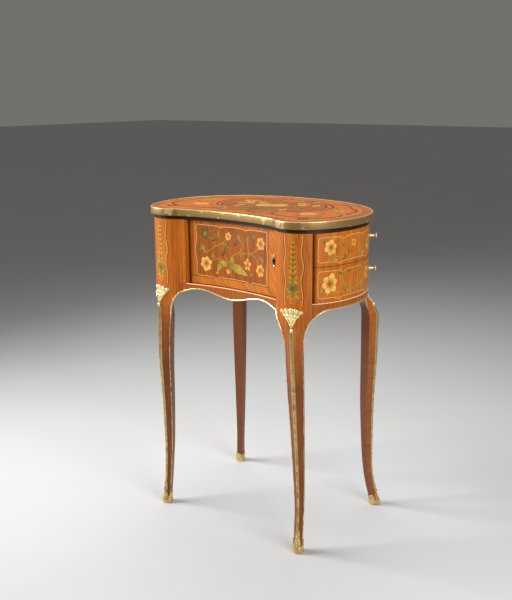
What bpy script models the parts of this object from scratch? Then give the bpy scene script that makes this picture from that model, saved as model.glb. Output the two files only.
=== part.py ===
"""Kidney-shaped side table with a pivoted front door, two swivel drawers at its right end and gilt mounts.

Metres, +Z up, the front faces -Y. The origin is on the floor, at the middle of the top's width and depth.
"""
import math

import bmesh
import bpy
from mathutils import Matrix, Vector

# Clearances
FIT = 0.0003             # between fixed pieces that touch
RUNNING_GAP = 0.0012     # beside a door or drawer that moves
PIN_GAP = 0.00035        # round a pin or a screw, measured on the radius
MOUNT_GAP = 0.0007       # under a gilt mount, measured outwards from the leg's middle

# Top
TOP_WIDTH = 0.510
BACK_DEPTH = 0.1973      # from the widest line to the back of the top
BACK_FULLNESS = 2.15     # 2 would be an ellipse
LOBE_HALF_WIDTH = 0.0866
LOBE_DEPTH = 0.1383      # from the widest line to the front of a lobe
HOLLOW_RADIUS = 0.5095   # concave front
HOLLOW_STEP = 0.0027     # how far the hollow lies behind a lobe's front, at the lobe's middle
TABLE_HEIGHT = 0.707
RIM_HEIGHT = 0.0154
RIM_THICKNESS = 0.0042
RIM_ROUND = 0.0012
RIM_PROUD = 0.0004       # rim above the veneer
RIM_OVERHANG = 0.0075    # rim beyond the case
TOP_SCREW_RADIUS = 0.0018
TOP_SCREW_HEAD_RADIUS = 0.0036
TOP_SCREW_HEAD_HEIGHT = 0.0022
TOP_SCREW_BITE = 0.0080  # depth in the top
TOP_SCREW_BACK_SPREAD = 0.115
TOP_SCREW_EDGE = 0.045

# Case
CASE_HEIGHT = 0.1490     # from the case floor to the underside of the top
CASE_TOP_THICKNESS = 0.0078
FLOOR_THICKNESS = 0.0080
PANEL_THICKNESS = 0.0140
POST_DEPTH = 0.0180
FRONT_ARRIS_ANGLE = -81.0      # outer corner of a front post, round the lobe
FRONT_POST_END_ANGLE = -54.4   # where a front post ends
BACK_POST_SETBACK = 0.1150     # front face of a back post, behind the widest line
BACK_POST_SIDE_INSET = 0.1074  # inner face of a back post, from the side of the top
BACK_POST_PROUD = 0.0050
STILE_WIDTH = 0.0149
STILE_DEPTH = 0.0240
PARTITION_THICKNESS = 0.0080
DUST_BOARD_THICKNESS = 0.0060

# Aprons, measured down from the case floor
APRON_THICKNESS = 0.0115
APRON_CENTRE_DROP = 0.0225
APRON_ARCH_DROP = 0.0085
APRON_END_DROP = 0.0205
APRON_SIDE_DROP = 0.0130
ARCH_SHARE = 0.64        # place of an arch's peak between the middle and the post
SIDE_ARCH_SHARE = 0.50   # share of half a side that its end arch takes
APRON_STEPS = 25
FILLET_HEIGHT = 0.0022
FILLET_DEPTH = 0.0045
FILLET_PROUD = 0.0010

# Legs: share of the knee height, offset of the leg's middle from the post's corner, side of its square
FLARE_DROP = 0.0315      # top of the flare, below the case floor
FLARE_HEIGHT = 0.0560
FOOT_CLEAR = 0.0103      # the wood stops here, inside the shoe
FRONT_LEG_TURN = -72.0   # direction of the outer corner
BACK_LEG_TURN = 30.0
FRONT_LEG_LINE = (
    (0.018, 0.0102, 0.0132, 0.0155),
    (0.120, 0.0079, 0.0179, 0.0145),
    (0.220, 0.0070, 0.0215, 0.0152),
    (0.350, 0.0049, 0.0223, 0.0178),
    (0.570, 0.0023, 0.0196, 0.0218),
    (0.790, 0.0005, 0.0150, 0.0260),
    (1.000, -0.0034, 0.0144, 0.0285),
)
BACK_LEG_LINE = (
    (0.018, 0.0223, 0.0323, 0.0155),
    (0.120, 0.0140, 0.0235, 0.0145),
    (0.220, 0.0092, 0.0186, 0.0152),
    (0.350, 0.0070, 0.0164, 0.0178),
    (0.570, 0.0056, 0.0149, 0.0215),
    (0.790, 0.0068, 0.0162, 0.0250),
    (1.000, 0.0072, 0.0166, 0.0268),
)
SHOE_LEVELS = (0.0160, 0.0220, 0.0280)
SHOE_TOP = 0.0340
SHOE_TONGUE = 0.0600
SHOE_TONGUE_SHOULDER = 0.0440
SHOE_WALL = 0.0024
SHOE_FLARE = 0.0018
SHOE_FLOOR = 0.0100
LEG_STEPS = 13
FLARE_STEPS = 6
CHUTE_RISE = 0.0200      # above the flare
CHUTE_LOW = 0.0265       # above the knee line
CHUTE_TOP_SPREAD = 0.55  # share of each face at the top
CHUTE_LOW_SPREAD = 0.14
CHUTE_THICKNESS = 0.0022
STRIP_SPREAD = 0.15
STRIP_THICKNESS = 0.0014
STRIP_GAP = 0.0010

# Door and lock
DOOR_RECESS = 0.0080
DOOR_THICKNESS = 0.0160
PIVOT_PIN_RADIUS = 0.0025
PIVOT_PIN_BITE = 0.0120  # in the door
PIVOT_PIN_REACH = 0.0050  # in the case
KEY_SETBACK = 0.0105     # keyhole from the door's free edge
KEY_RISE = 0.0070        # keyhole above the middle of the opening
KEY_BORE_RADIUS = 0.0021
KEY_SLOT_WIDTH = 0.0024
KEY_SLOT_LENGTH = 0.0075
PLATE_WIDTH = 0.0120
PLATE_HEIGHT = 0.0240
PLATE_THICKNESS = 0.0012
LOCK_WIDTH = 0.0400
LOCK_HEIGHT = 0.0500
LOCK_DEPTH = 0.0100
LOCK_SETBACK = 0.0060
LOCK_SCREW_RADIUS = 0.0011
LOCK_SCREW_HEAD_RADIUS = 0.0024
LOCK_SCREW_HEAD_HEIGHT = 0.0012
LOCK_SCREW_BITE = 0.0060
LOCK_SCREW_EDGE = 0.0050
BOLT_LENGTH = 0.0260
BOLT_HEIGHT = 0.0100
BOLT_THICKNESS = 0.0045
BOLT_TRAVEL = 0.0110
BOLT_SINK = 0.0005       # bolt's end inside the lock when it is drawn back
STRIKE_HEIGHT = 0.0280
STRIKE_WIDTH = 0.0150
STRIKE_THICKNESS = 0.0010

# Drawers
KNUCKLE_RADIUS = 0.0080  # also half the thickness of a drawer front
ROD_RADIUS = 0.0025
ROD_REACH = 0.0050
DRAWER_WALL = 0.0060
DRAWER_BOTTOM_THICKNESS = 0.0050
DRAWER_SPLIT = 0.0730    # top of the lower drawer front, above the case floor
KNOB_SETBACK = 0.0242    # knob in front of the back post's face
KNOB_RISE = 0.0055       # knob above the middle of the front
KNOB_BASE_RADIUS = 0.0042
KNOB_SHANK_RADIUS = 0.0019
KNOB_DISC_RADIUS = 0.0054
KNOB_DISC_HEIGHT = 0.0034
KNOB_REACH = 0.0170
KNOB_STUD_RADIUS = 0.0016
KNOB_STUD_LENGTH = 0.0110  # in the drawer front

# Worked out from the sizes above
HALF_WIDTH = TOP_WIDTH / 2
CENTRE_Y = (LOBE_DEPTH - BACK_DEPTH) / 2
LOBE_X = HALF_WIDTH - LOBE_HALF_WIDTH
HOLLOW_CENTRE_Y = CENTRE_Y - LOBE_DEPTH + HOLLOW_STEP - math.sqrt(HOLLOW_RADIUS ** 2 - LOBE_X ** 2)
TOP_UNDER_Z = TABLE_HEIGHT - RIM_HEIGHT
CASE_TOP_Z = TOP_UNDER_Z - FIT
CASE_TOP_UNDER_Z = CASE_TOP_Z - CASE_TOP_THICKNESS
POST_TOP_Z = CASE_TOP_UNDER_Z - FIT
CASE_FLOOR_Z = TOP_UNDER_Z - CASE_HEIGHT
FLARE_TOP_Z = CASE_FLOOR_Z - FLARE_DROP
KNEE_Z = FLARE_TOP_Z - FLARE_HEIGHT
APRON_INNER = RIM_OVERHANG + APRON_THICKNESS
PANEL_INNER = RIM_OVERHANG + PANEL_THICKNESS
FIT_ANGLE = math.degrees(FIT / LOBE_HALF_WIDTH)
BACK_POST_Y = CENTRE_Y + BACK_POST_SETBACK
BACK_POST_X = HALF_WIDTH - BACK_POST_SIDE_INSET
DRAWER_SPLIT_Z = CASE_FLOOR_Z + DRAWER_SPLIT


def start_scene():
    for thing in list(bpy.data.objects):
        bpy.data.objects.remove(thing)
    collections = []
    for name in ("kidney_table", "cutters"):
        collection = bpy.data.collections.new(name)
        bpy.context.scene.collection.children.link(collection)
        collections.append(collection)
    return collections


PARTS, CUTTERS = start_scene()


def make_material(name, colour, roughness, metallic=0.0):
    material = bpy.data.materials.new(name)
    material.use_nodes = True
    shader = material.node_tree.nodes["Principled BSDF"]
    shader.inputs["Base Color"].default_value = (*colour, 1.0)
    shader.inputs["Roughness"].default_value = roughness
    shader.inputs["Metallic"].default_value = metallic
    return material


VENEER = make_material("tulipwood_veneer", (0.46, 0.17, 0.045), 0.32)
OAK = make_material("oak_carcase", (0.36, 0.23, 0.12), 0.6)
GILT = make_material("gilt_brass", (0.72, 0.52, 0.22), 0.3, 1.0)
RIM_BRASS = make_material("aged_brass", (0.42, 0.31, 0.13), 0.4, 1.0)
STEEL = make_material("lock_steel", (0.35, 0.34, 0.33), 0.45, 1.0)


# Plan of the table, right half; angles are in degrees, below 0 on the front lobe and above 0 on the back
def side_point(angle, inset):
    turn = math.radians(angle)
    if angle < 0:
        return (LOBE_X + (LOBE_HALF_WIDTH - inset) * math.cos(turn),
                CENTRE_Y + (LOBE_DEPTH - inset) * math.sin(turn))
    power = 2 / BACK_FULLNESS
    return ((HALF_WIDTH - inset) * max(math.cos(turn), 0.0) ** power,
            CENTRE_Y + (BACK_DEPTH - inset) * math.sin(turn) ** power)


def hollow_point(x, inset):
    radius = HOLLOW_RADIUS + inset
    return (x, HOLLOW_CENTRE_Y + math.sqrt(radius ** 2 - x ** 2))


def solve(function, low, high):
    """Root of a function that changes sign once between low and high."""
    sign = function(low) > 0
    for _ in range(60):
        middle = (low + high) / 2
        if (function(middle) > 0) == sign:
            low = middle
        else:
            high = middle
    return (low + high) / 2


def cusp_angle(inset):
    def gap(angle):
        x, y = side_point(angle, inset)
        return y - hollow_point(x, inset)[1]
    return solve(gap, -179.0, -90.0)


def angle_at_y(y, inset):
    return solve(lambda angle: side_point(angle, inset)[1] - y, 0.0, 90.0)


def angle_at_x(x, inset):
    return solve(lambda angle: side_point(angle, inset)[0] - x, 0.0, 90.0)


def spread(first, last, count):
    return [first + (last - first) * step / (count - 1) for step in range(count)]


def flipped(points):
    return [(-point[0], *point[1:]) for point in points]


def outline(inset):
    """Whole kidney, from the middle of the front round by the right, with the cusps as sharp corners."""
    cusp = cusp_angle(inset)
    cusp_x = side_point(cusp, inset)[0]
    half = [hollow_point(x, inset) for x in spread(0.0, cusp_x, 6)]
    half += [side_point(angle, inset) for angle in spread(cusp, 0.0, 14)[1:]]
    half += [side_point(angle, inset) for angle in spread(0.0, 90.0, 14)[1:]]
    return half + flipped(half[1:-1])[::-1]


CUSP_ANGLE = cusp_angle(RIM_OVERHANG)
CUSP_X, CUSP_Y = side_point(CUSP_ANGLE, RIM_OVERHANG)
POST_INNER = RIM_OVERHANG + POST_DEPTH
POST_CORNER = side_point(FRONT_POST_END_ANGLE, POST_INNER)
BACK_CORNER_X = side_point(angle_at_y(BACK_POST_Y, POST_INNER), POST_INNER)[0]
BACK_CORNER_Y = side_point(angle_at_x(BACK_POST_X, POST_INNER), POST_INNER)[1]
STILE_EDGE_X = -CUSP_X + STILE_WIDTH


# Solids
def add_object(name, mesh, material, collection=None):
    thing = bpy.data.objects.new(name, mesh)
    (collection or PARTS).objects.link(thing)
    if material:
        mesh.materials.append(material)
    if collection is CUTTERS:
        thing.hide_render = True
        thing.display_type = "WIRE"
    return thing


def mesh_from(bm, name):
    bmesh.ops.recalc_face_normals(bm, faces=bm.faces)
    mesh = bpy.data.meshes.new(name)
    bm.to_mesh(mesh)
    bm.free()
    return mesh


def loft(name, rings, material, looped=False, collection=None):
    """Skin over closed rings of equal length, capped at both ends or joined end to end."""
    bm = bmesh.new()
    loops = [[bm.verts.new(point) for point in ring] for ring in rings]
    size = len(rings[0])
    pairs = list(zip(loops, loops[1:]))
    if looped:
        pairs.append((loops[-1], loops[0]))
    else:
        bm.faces.new(loops[0])
        bm.faces.new(loops[-1])
    for lower, upper in pairs:
        for i in range(size):
            j = (i + 1) % size
            bm.faces.new((lower[i], lower[j], upper[j], upper[i]))
    return add_object(name, mesh_from(bm, name), material, collection)


def board(name, plan, low, high, material):
    """Flat outline of the plan, thick from low to high."""
    curve = bpy.data.curves.new(name + "_outline", "CURVE")
    curve.dimensions = "2D"
    curve.fill_mode = "BOTH"
    curve.extrude = (high - low) / 2
    spline = curve.splines.new("POLY")
    spline.points.add(len(plan) - 1)
    for point, (x, y) in zip(spline.points, plan):
        point.co = (x, y, 0.0, 1.0)
    spline.use_cyclic_u = True
    drawn = bpy.data.objects.new(name + "_outline", curve)
    PARTS.objects.link(drawn)
    drawn.location.z = (low + high) / 2
    bpy.context.view_layer.update()
    graph = bpy.context.evaluated_depsgraph_get()
    mesh = bpy.data.meshes.new_from_object(drawn.evaluated_get(graph))
    mesh.transform(drawn.matrix_world)
    bpy.data.objects.remove(drawn)
    bm = bmesh.new()
    bm.from_mesh(mesh)
    bmesh.ops.remove_doubles(bm, verts=bm.verts, dist=0.00001)
    bm.to_mesh(mesh)
    bm.free()
    mesh.materials.clear()
    return add_object(name, mesh, material)


def box(name, size, place, material, collection=None):
    bm = bmesh.new()
    bmesh.ops.create_cube(bm, size=1.0, matrix=place @ Matrix.Diagonal((*size, 1.0)))
    return add_object(name, mesh_from(bm, name), material, collection)


def rod_into(bm, radius, length, place, sides=16):
    bmesh.ops.create_cone(bm, cap_ends=True, segments=sides, radius1=radius, radius2=radius,
                          depth=length, matrix=place)


def rods(name, pieces, material, collection=None, sides=16):
    """Round bars in one object: (radius, length, place of the middle)."""
    bm = bmesh.new()
    for radius, length, place in pieces:
        rod_into(bm, radius, length, place, sides)
    return add_object(name, mesh_from(bm, name), material, collection)


def turned(name, profile, place, material, steps=20):
    """Profile of (radius, height) from top to bottom, spun round its own Z and put in place."""
    mesh = bpy.data.meshes.new(name)
    edges = [(i, i + 1) for i in range(len(profile) - 1)]
    mesh.from_pydata([(radius, 0.0, height) for radius, height in profile], edges, [])
    thing = add_object(name, mesh, material)
    thing.matrix_world = place
    spin = thing.modifiers.new("turn", "SCREW")
    spin.steps = steps
    spin.render_steps = steps
    spin.use_merge_vertices = True
    spin.merge_threshold = 0.00001
    return thing


def screw(name, place, head_radius, head_height, radius, length):
    """Head at the place's origin, shank along its +Z."""
    profile = [(0.0, length), (radius, length), (radius, head_height), (head_radius, head_height),
               (head_radius, 0.0), (0.0, 0.0)]
    return turned(name, profile, place, STEEL, steps=12)


def cut(thing, cutter):
    boolean = thing.modifiers.new("cut_" + cutter.name, "BOOLEAN")
    boolean.operation = "DIFFERENCE"
    boolean.solver = "EXACT"
    boolean.object = cutter


def upright(x, y, low, high):
    return Matrix.Translation((x, y, (low + high) / 2))


def carry(axis_name, place, things):
    """Empty on a joint's axis that carries the pieces of one moving body."""
    axis = bpy.data.objects.new(axis_name, None)
    PARTS.objects.link(axis)
    axis.location = place
    for thing in things:
        thing.parent = axis
        thing.matrix_parent_inverse = Matrix.Translation(place).inverted()


def level(points, z):
    return [(x, y, z) for x, y in points]


# Top
def build_top():
    rim = [(RIM_ROUND, TOP_UNDER_Z), (0.0, TOP_UNDER_Z + RIM_ROUND), (0.0, TABLE_HEIGHT - 2 * RIM_ROUND),
           (RIM_ROUND, TABLE_HEIGHT - RIM_ROUND / 3), (RIM_THICKNESS / 2, TABLE_HEIGHT),
           (RIM_THICKNESS, TABLE_HEIGHT - RIM_ROUND / 3), (RIM_THICKNESS, TOP_UNDER_Z)]
    loft("top_rim", [level(outline(inset), z) for inset, z in rim], RIM_BRASS, looped=True)
    panel = board("top_panel", outline(RIM_THICKNESS + FIT), TOP_UNDER_Z, TABLE_HEIGHT - RIM_PROUD, VENEER)
    lid = board("case_top", outline(RIM_OVERHANG), CASE_TOP_UNDER_Z, CASE_TOP_Z, OAK)
    spots = {"front": (0.0, hollow_point(0.0, TOP_SCREW_EDGE)[1]),
             "left": (-TOP_SCREW_BACK_SPREAD, CENTRE_Y + BACK_DEPTH / 2),
             "right": (TOP_SCREW_BACK_SPREAD, CENTRE_Y + BACK_DEPTH / 2)}
    head_z = CASE_TOP_UNDER_Z + TOP_SCREW_HEAD_HEIGHT
    tip_z = TOP_UNDER_Z + TOP_SCREW_BITE
    holes = []
    sinks = []
    for x, y in spots.values():
        holes.append((TOP_SCREW_RADIUS + PIN_GAP, tip_z + FIT - head_z, upright(x, y, head_z, tip_z + FIT)))
        sink_low = CASE_TOP_UNDER_Z - FIT
        sinks.append((TOP_SCREW_HEAD_RADIUS + PIN_GAP, head_z + FIT - sink_low,
                      upright(x, y, sink_low, head_z + FIT)))
    hole_cutter = rods("top_screw_holes", holes, None, CUTTERS)
    sink_cutter = rods("top_screw_sinks", sinks, None, CUTTERS)
    cut(panel, hole_cutter)
    cut(lid, hole_cutter)
    cut(lid, sink_cutter)
    for side, (x, y) in spots.items():
        screw("top_screw_" + side, Matrix.Translation((x, y, CASE_TOP_UNDER_Z)), TOP_SCREW_HEAD_RADIUS,
              TOP_SCREW_HEAD_HEIGHT, TOP_SCREW_RADIUS, tip_z - CASE_TOP_UNDER_Z)
    return lid


# Case
def side_wall_plan(inner):
    """Right-hand wall between the posts, from the outside of the case to the given inset."""
    start = FRONT_POST_END_ANGLE + FIT_ANGLE
    outer = side_path(start, angle_at_y(BACK_POST_Y - FIT, RIM_OVERHANG), RIM_OVERHANG)
    within = side_path(start, angle_at_y(BACK_POST_Y - FIT, inner), inner)
    return outer, within


def side_path(first, last, inset, count=17):
    return [side_point(angle, inset) for angle in spread(first, last, count)]


def back_path(inset, count=17):
    edge = angle_at_x(BACK_POST_X - FIT, inset)
    return [side_point(angle, inset) if angle <= 90 else flipped([side_point(180 - angle, inset)])[0]
            for angle in spread(edge, 180 - edge, count)]


def front_path(inset, count=17):
    edge = CUSP_X - FIT
    return [hollow_point(x, inset) for x in spread(-edge, edge, count)]


def floor_plan():
    """Case floor: inside the aprons and clear of the four posts."""
    inner = APRON_INNER + FIT
    half = [hollow_point(x, inner) for x in spread(0.0, CUSP_X - FIT, 8)]
    half.append((CUSP_X - FIT, POST_CORNER[1] + FIT))
    first = solve(lambda angle: side_point(angle, inner)[1] - POST_CORNER[1] - 2 * FIT, -90.0, 0.0)
    half += side_path(first, angle_at_y(BACK_POST_Y - FIT, inner), inner)
    half += [(BACK_CORNER_X - FIT, BACK_POST_Y - FIT), (BACK_POST_X - FIT, BACK_CORNER_Y - FIT)]
    half += [side_point(angle, inner) for angle in spread(angle_at_x(BACK_POST_X - FIT, inner), 90.0, 9)]
    return half + flipped(half[1:-1])[::-1]


def build_case():
    floor = board("case_bottom", floor_plan(), CASE_FLOOR_Z - FLOOR_THICKNESS, CASE_FLOOR_Z, OAK)
    low = CASE_FLOOR_Z + FIT
    outer, within = side_wall_plan(PANEL_INNER)
    board("case_left", flipped(outer + within[::-1]), low, POST_TOP_Z, VENEER)
    board("case_back", back_path(RIM_OVERHANG) + back_path(PANEL_INNER)[::-1], low, POST_TOP_Z, VENEER)
    stile = spread(-CUSP_X + FIT, STILE_EDGE_X, 4)
    stile_plan = [hollow_point(x, RIM_OVERHANG) for x in stile]
    stile_plan += [hollow_point(x, RIM_OVERHANG + STILE_DEPTH) for x in stile[::-1]]
    board("hinge_stile", stile_plan, low, POST_TOP_Z, VENEER)
    far_x = CUSP_X + PARTITION_THICKNESS
    far_y = side_point(angle_at_x(far_x, PANEL_INNER), PANEL_INNER)[1] - FIT
    near_y = POST_CORNER[1] + FIT
    partition = board("partition", [(CUSP_X, near_y), (far_x, near_y), (far_x, far_y), (CUSP_X, far_y)],
                      low, POST_TOP_Z, OAK)
    return floor, partition


def build_dust_board(pivot):
    """Board between the drawers: inside their fronts, from the partition to the posts."""
    inner = RIM_OVERHANG + 2 * KNUCKLE_RADIUS + RUNNING_GAP
    near_y = pivot[1] + KNUCKLE_RADIUS + RUNNING_GAP
    first = solve(lambda angle: side_point(angle, inner)[1] - near_y, -90.0, 0.0)
    edge = side_path(first, angle_at_y(BACK_POST_Y - FIT, inner), inner, 13)
    left = CUSP_X + PARTITION_THICKNESS + FIT
    plan = [(left, near_y)] + edge + [(left, BACK_POST_Y - FIT)]
    middle = DRAWER_SPLIT_Z
    board("dust_board", plan, middle - DUST_BOARD_THICKNESS / 2, middle + DUST_BOARD_THICKNESS / 2, OAK)


# Aprons and the gilt fillets under them
def front_drop(share):
    """Depth of the front apron, from 0 in the middle to 1 at a post."""
    if share < ARCH_SHARE:
        wave = (1 - math.cos(math.pi * share / ARCH_SHARE)) / 2
        return APRON_CENTRE_DROP + (APRON_ARCH_DROP - APRON_CENTRE_DROP) * wave
    fall = 1 - math.cos(math.pi / 2 * (share - ARCH_SHARE) / (1 - ARCH_SHARE))
    return APRON_ARCH_DROP + (APRON_END_DROP - APRON_ARCH_DROP) * fall


def side_drop(share):
    rise = max(1 - (1 - share) / SIDE_ARCH_SHARE, 0.0)
    return APRON_SIDE_DROP + (FLARE_DROP - APRON_SIDE_DROP) * rise ** 2


def build_apron(name, path, drop, mirror=False):
    """Apron and fillet along a path, which gives a list of plan points for an inset."""
    def rings(outer_inset, inner_inset, top_of, low_of):
        outer = path(outer_inset)
        inner = path(inner_inset)
        made = []
        for i, (out, back) in enumerate(zip(outer, inner)):
            share = abs(2 * i / (len(outer) - 1) - 1)
            top = CASE_FLOOR_Z - top_of(share)
            low = CASE_FLOOR_Z - low_of(share)
            ring = [(*out, low), (*out, top), (*back, top), (*back, low)]
            made.append(flipped(ring) if mirror else ring)
        return made
    apron = loft("apron_" + name, rings(RIM_OVERHANG, APRON_INNER, lambda share: 0.0, drop), VENEER)
    proud = RIM_OVERHANG - FILLET_PROUD
    fillet = rings(proud, proud + FILLET_DEPTH, lambda share: drop(share) + FIT,
                   lambda share: drop(share) + FIT + FILLET_HEIGHT)
    loft("fillet_" + name, fillet, GILT)
    return apron


def build_aprons():
    def side(inset):
        start = FRONT_POST_END_ANGLE + FIT_ANGLE
        return side_path(start, angle_at_y(BACK_POST_Y - FIT, inset), inset, APRON_STEPS)
    build_apron("front", lambda inset: front_path(inset, APRON_STEPS), front_drop)
    build_apron("back", lambda inset: back_path(inset, APRON_STEPS), side_drop)
    build_apron("left", side, side_drop, mirror=True)
    return build_apron("right", side, side_drop)


# Legs: each ring starts at the outer corner and runs anticlockwise, with as many points on the post as below
RIGHT_FACE_STEPS = 4
LEFT_FACE_STEPS = 3


def mix(first, second, share):
    return tuple(a + (b - a) * share for a, b in zip(first, second))


def front_post_ring():
    ring = side_path(FRONT_ARRIS_ANGLE, FRONT_POST_END_ANGLE, RIM_OVERHANG, RIGHT_FACE_STEPS + 1)
    ring += [POST_CORNER, (CUSP_X, POST_CORNER[1])]
    return ring + side_path(CUSP_ANGLE, FRONT_ARRIS_ANGLE, RIM_OVERHANG, LEFT_FACE_STEPS + 1)[:-1]


def back_post_ring():
    first = angle_at_y(BACK_POST_Y, RIM_OVERHANG)
    last = angle_at_x(BACK_POST_X, RIM_OVERHANG)
    corner = (first + last) / 2

    def proud_path(start, end, count):
        ridge = []
        for angle in spread(start, end, count):
            share = 1 - abs(angle - corner) / (last - corner)
            ridge.append(side_point(angle, RIM_OVERHANG - BACK_POST_PROUD * share))
        return ridge
    ring = proud_path(corner, last, RIGHT_FACE_STEPS + 1)
    ring += [(BACK_POST_X, BACK_CORNER_Y), (BACK_CORNER_X, BACK_POST_Y)]
    return ring + proud_path(first, corner, LEFT_FACE_STEPS + 1)[:-1]


def leg_line(line, share):
    """Smooth curve through a leg's stations."""
    share = min(max(share, line[0][0]), line[-1][0])
    i = max(k for k in range(len(line) - 1) if line[k][0] <= share)
    before, here, there, after = (line[min(max(k, 0), len(line) - 1)] for k in (i - 1, i, i + 1, i + 2))
    t = (share - here[0]) / (there[0] - here[0])
    values = []
    for k in (1, 2, 3):
        step = there[0] - here[0]
        slope_in = (there[k] - before[k]) / max(there[0] - before[0], step) * step
        slope_out = (after[k] - here[k]) / max(after[0] - here[0], step) * step
        values.append((2 * t ** 3 - 3 * t ** 2 + 1) * here[k] + (t ** 3 - 2 * t ** 2 + t) * slope_in
                      + (3 * t ** 2 - 2 * t ** 3) * there[k] + (t ** 3 - t ** 2) * slope_out)
    return values


def square_ring(middle, side, turn):
    corners = []
    for quarter in range(4):
        angle = math.radians(turn + 90 * quarter)
        corners.append((middle[0] + side / math.sqrt(2) * math.cos(angle),
                        middle[1] + side / math.sqrt(2) * math.sin(angle)))
    outer, right, inner, left = corners
    ring = [mix(outer, right, k / RIGHT_FACE_STEPS) for k in range(RIGHT_FACE_STEPS + 1)]
    ring += [inner, mix(inner, left, 0.5)]
    return ring + [mix(left, outer, k / LEFT_FACE_STEPS) for k in range(LEFT_FACE_STEPS)]


class Leg:
    """Rings of one right-hand leg at rising heights, and points on its faces."""

    def __init__(self, post, line, turn):
        self.levels = []
        heights = [FOOT_CLEAR, *SHOE_LEVELS, SHOE_TOP, SHOE_TONGUE_SHOULDER]
        heights += spread(SHOE_TONGUE, KNEE_Z, LEG_STEPS)
        for step in range(1, FLARE_STEPS + 1):
            heights.append(KNEE_Z + FLARE_HEIGHT * math.sin(math.pi / 2 * step / FLARE_STEPS))
        heights.append(POST_TOP_Z)
        for z in heights:
            out_x, out_y, side = leg_line(line, z / KNEE_Z)
            below = square_ring((post[0][0] + out_x, post[0][1] + out_y), side, turn)
            rise = min(max((z - KNEE_Z) / FLARE_HEIGHT, 0.0), 1.0)
            flare = 1 - math.sqrt(1 - rise ** 2)
            self.levels.append((z, [mix(low, high, flare) for low, high in zip(below, post)]))

    def ring(self, z):
        z = min(max(z, self.levels[0][0]), self.levels[-1][0])
        for (low_z, low), (high_z, high) in zip(self.levels, self.levels[1:]):
            if z <= high_z:
                share = (z - low_z) / (high_z - low_z)
                return [mix(a, b, share) for a, b in zip(low, high)]
        return self.levels[-1][1]

    def heights(self, low, high):
        """The given ends, with every ring of the leg that lies between them."""
        return [low] + [z for z, _ in self.levels if low < z < high] + [high]

    def lifted(self, index_ring, z, lift):
        """Points moved outwards from the leg's middle."""
        ring = self.ring(z)
        middle = (sum(p[0] for p in ring) / len(ring), sum(p[1] for p in ring) / len(ring))
        moved = []
        for x, y in index_ring:
            away = Vector((x - middle[0], y - middle[1])).normalized()
            moved.append((x + away.x * lift, y + away.y * lift))
        return moved

    def face_point(self, z, spot):
        """Point on the outer faces: -1 at the left edge, 0 at the outer corner, 1 at the right edge."""
        ring = self.ring(z)
        if spot >= 0:
            run = ring[:RIGHT_FACE_STEPS + 1]
        else:
            run = ring[:1] + ring[:-LEFT_FACE_STEPS - 1:-1]
        place = abs(spot) * (len(run) - 1)
        i = min(int(place), len(run) - 2)
        return mix(run[i], run[i + 1], place - i)


def build_leg(name, leg, mirror):
    def turned_over(rings):
        return [flipped(ring) for ring in rings] if mirror else rings
    loft("leg_" + name, turned_over([level(ring, z) for z, ring in leg.levels]), VENEER)
    loft("sabot_" + name, turned_over(shoe_rings(leg)), GILT)
    low = KNEE_Z + CHUTE_LOW
    high = FLARE_TOP_Z + CHUTE_RISE

    def chute_spread(z):
        return CHUTE_LOW_SPREAD + (CHUTE_TOP_SPREAD - CHUTE_LOW_SPREAD) * (z - low) / (high - low)
    loft("chute_" + name, turned_over(mount_rings(leg, low, high, chute_spread, CHUTE_THICKNESS)), GILT)
    strip = mount_rings(leg, SHOE_TONGUE + STRIP_GAP, low - STRIP_GAP, lambda z: STRIP_SPREAD,
                        STRIP_THICKNESS)
    loft("arris_strip_" + name, turned_over(strip), GILT)


def mount_rings(leg, low, high, spread_at, thickness):
    """Thin mount over the outer corner of a leg, from low to high."""
    rings = []
    for z in leg.heights(low, high):
        reach = spread_at(z)
        spots = [leg.face_point(z, spot) for spot in spread(-reach, reach, 9)]
        inner = leg.lifted(spots, z, MOUNT_GAP)
        outer = leg.lifted(spots, z, MOUNT_GAP + thickness)
        rings.append(level(inner + outer[::-1], z))
    return rings


def shoe_rings(leg):
    """Gilt shoe: outer wall from the floor up, over its top edge, and down inside to the wood's end."""
    wall = MOUNT_GAP + SHOE_WALL
    size = len(leg.levels[0][1])
    tops = [SHOE_TOP] * size
    tops[0] = SHOE_TONGUE
    tops[1] = tops[-1] = SHOE_TONGUE_SHOULDER

    def ring_at(z, lift, height=None):
        return level(leg.lifted(leg.ring(z), z, lift), z if height is None else height)

    def top_ring(lift):
        made = []
        for i, z in enumerate(tops):
            made.append((*leg.lifted([leg.ring(z)[i]], z, lift)[0], z))
        return made
    rings = [ring_at(FOOT_CLEAR, wall, 0.0), ring_at(FOOT_CLEAR, wall + SHOE_FLARE, SHOE_FLOOR / 2)]
    rings += [ring_at(z, wall) for z in SHOE_LEVELS]
    rings += [top_ring(wall), top_ring(MOUNT_GAP)]
    rings += [ring_at(z, MOUNT_GAP) for z in SHOE_LEVELS[::-1]]
    return rings + [ring_at(FOOT_CLEAR, MOUNT_GAP, SHOE_FLOOR)]


def build_legs():
    front = Leg(front_post_ring(), FRONT_LEG_LINE, FRONT_LEG_TURN)
    back = Leg(back_post_ring(), BACK_LEG_LINE, BACK_LEG_TURN)
    for end, leg in (("front", front), ("back", back)):
        build_leg(end + "_right", leg, False)
        build_leg(end + "_left", leg, True)


# Door: an arc about the hollow's centre, rounded about its pivot at the left
DOOR_OUTER = RIM_OVERHANG + DOOR_RECESS
DOOR_INNER = DOOR_OUTER + DOOR_THICKNESS
DOOR_LOW = CASE_FLOOR_Z + RUNNING_GAP
DOOR_HIGH = CASE_TOP_UNDER_Z - RUNNING_GAP
DOOR_EDGE_X = CUSP_X - RUNNING_GAP
KEY_Z = (DOOR_LOW + DOOR_HIGH) / 2 + KEY_RISE
DOOR_PIVOT = hollow_point(STILE_EDGE_X + RUNNING_GAP + DOOR_THICKNESS / 2, (DOOR_OUTER + DOOR_INNER) / 2)


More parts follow.
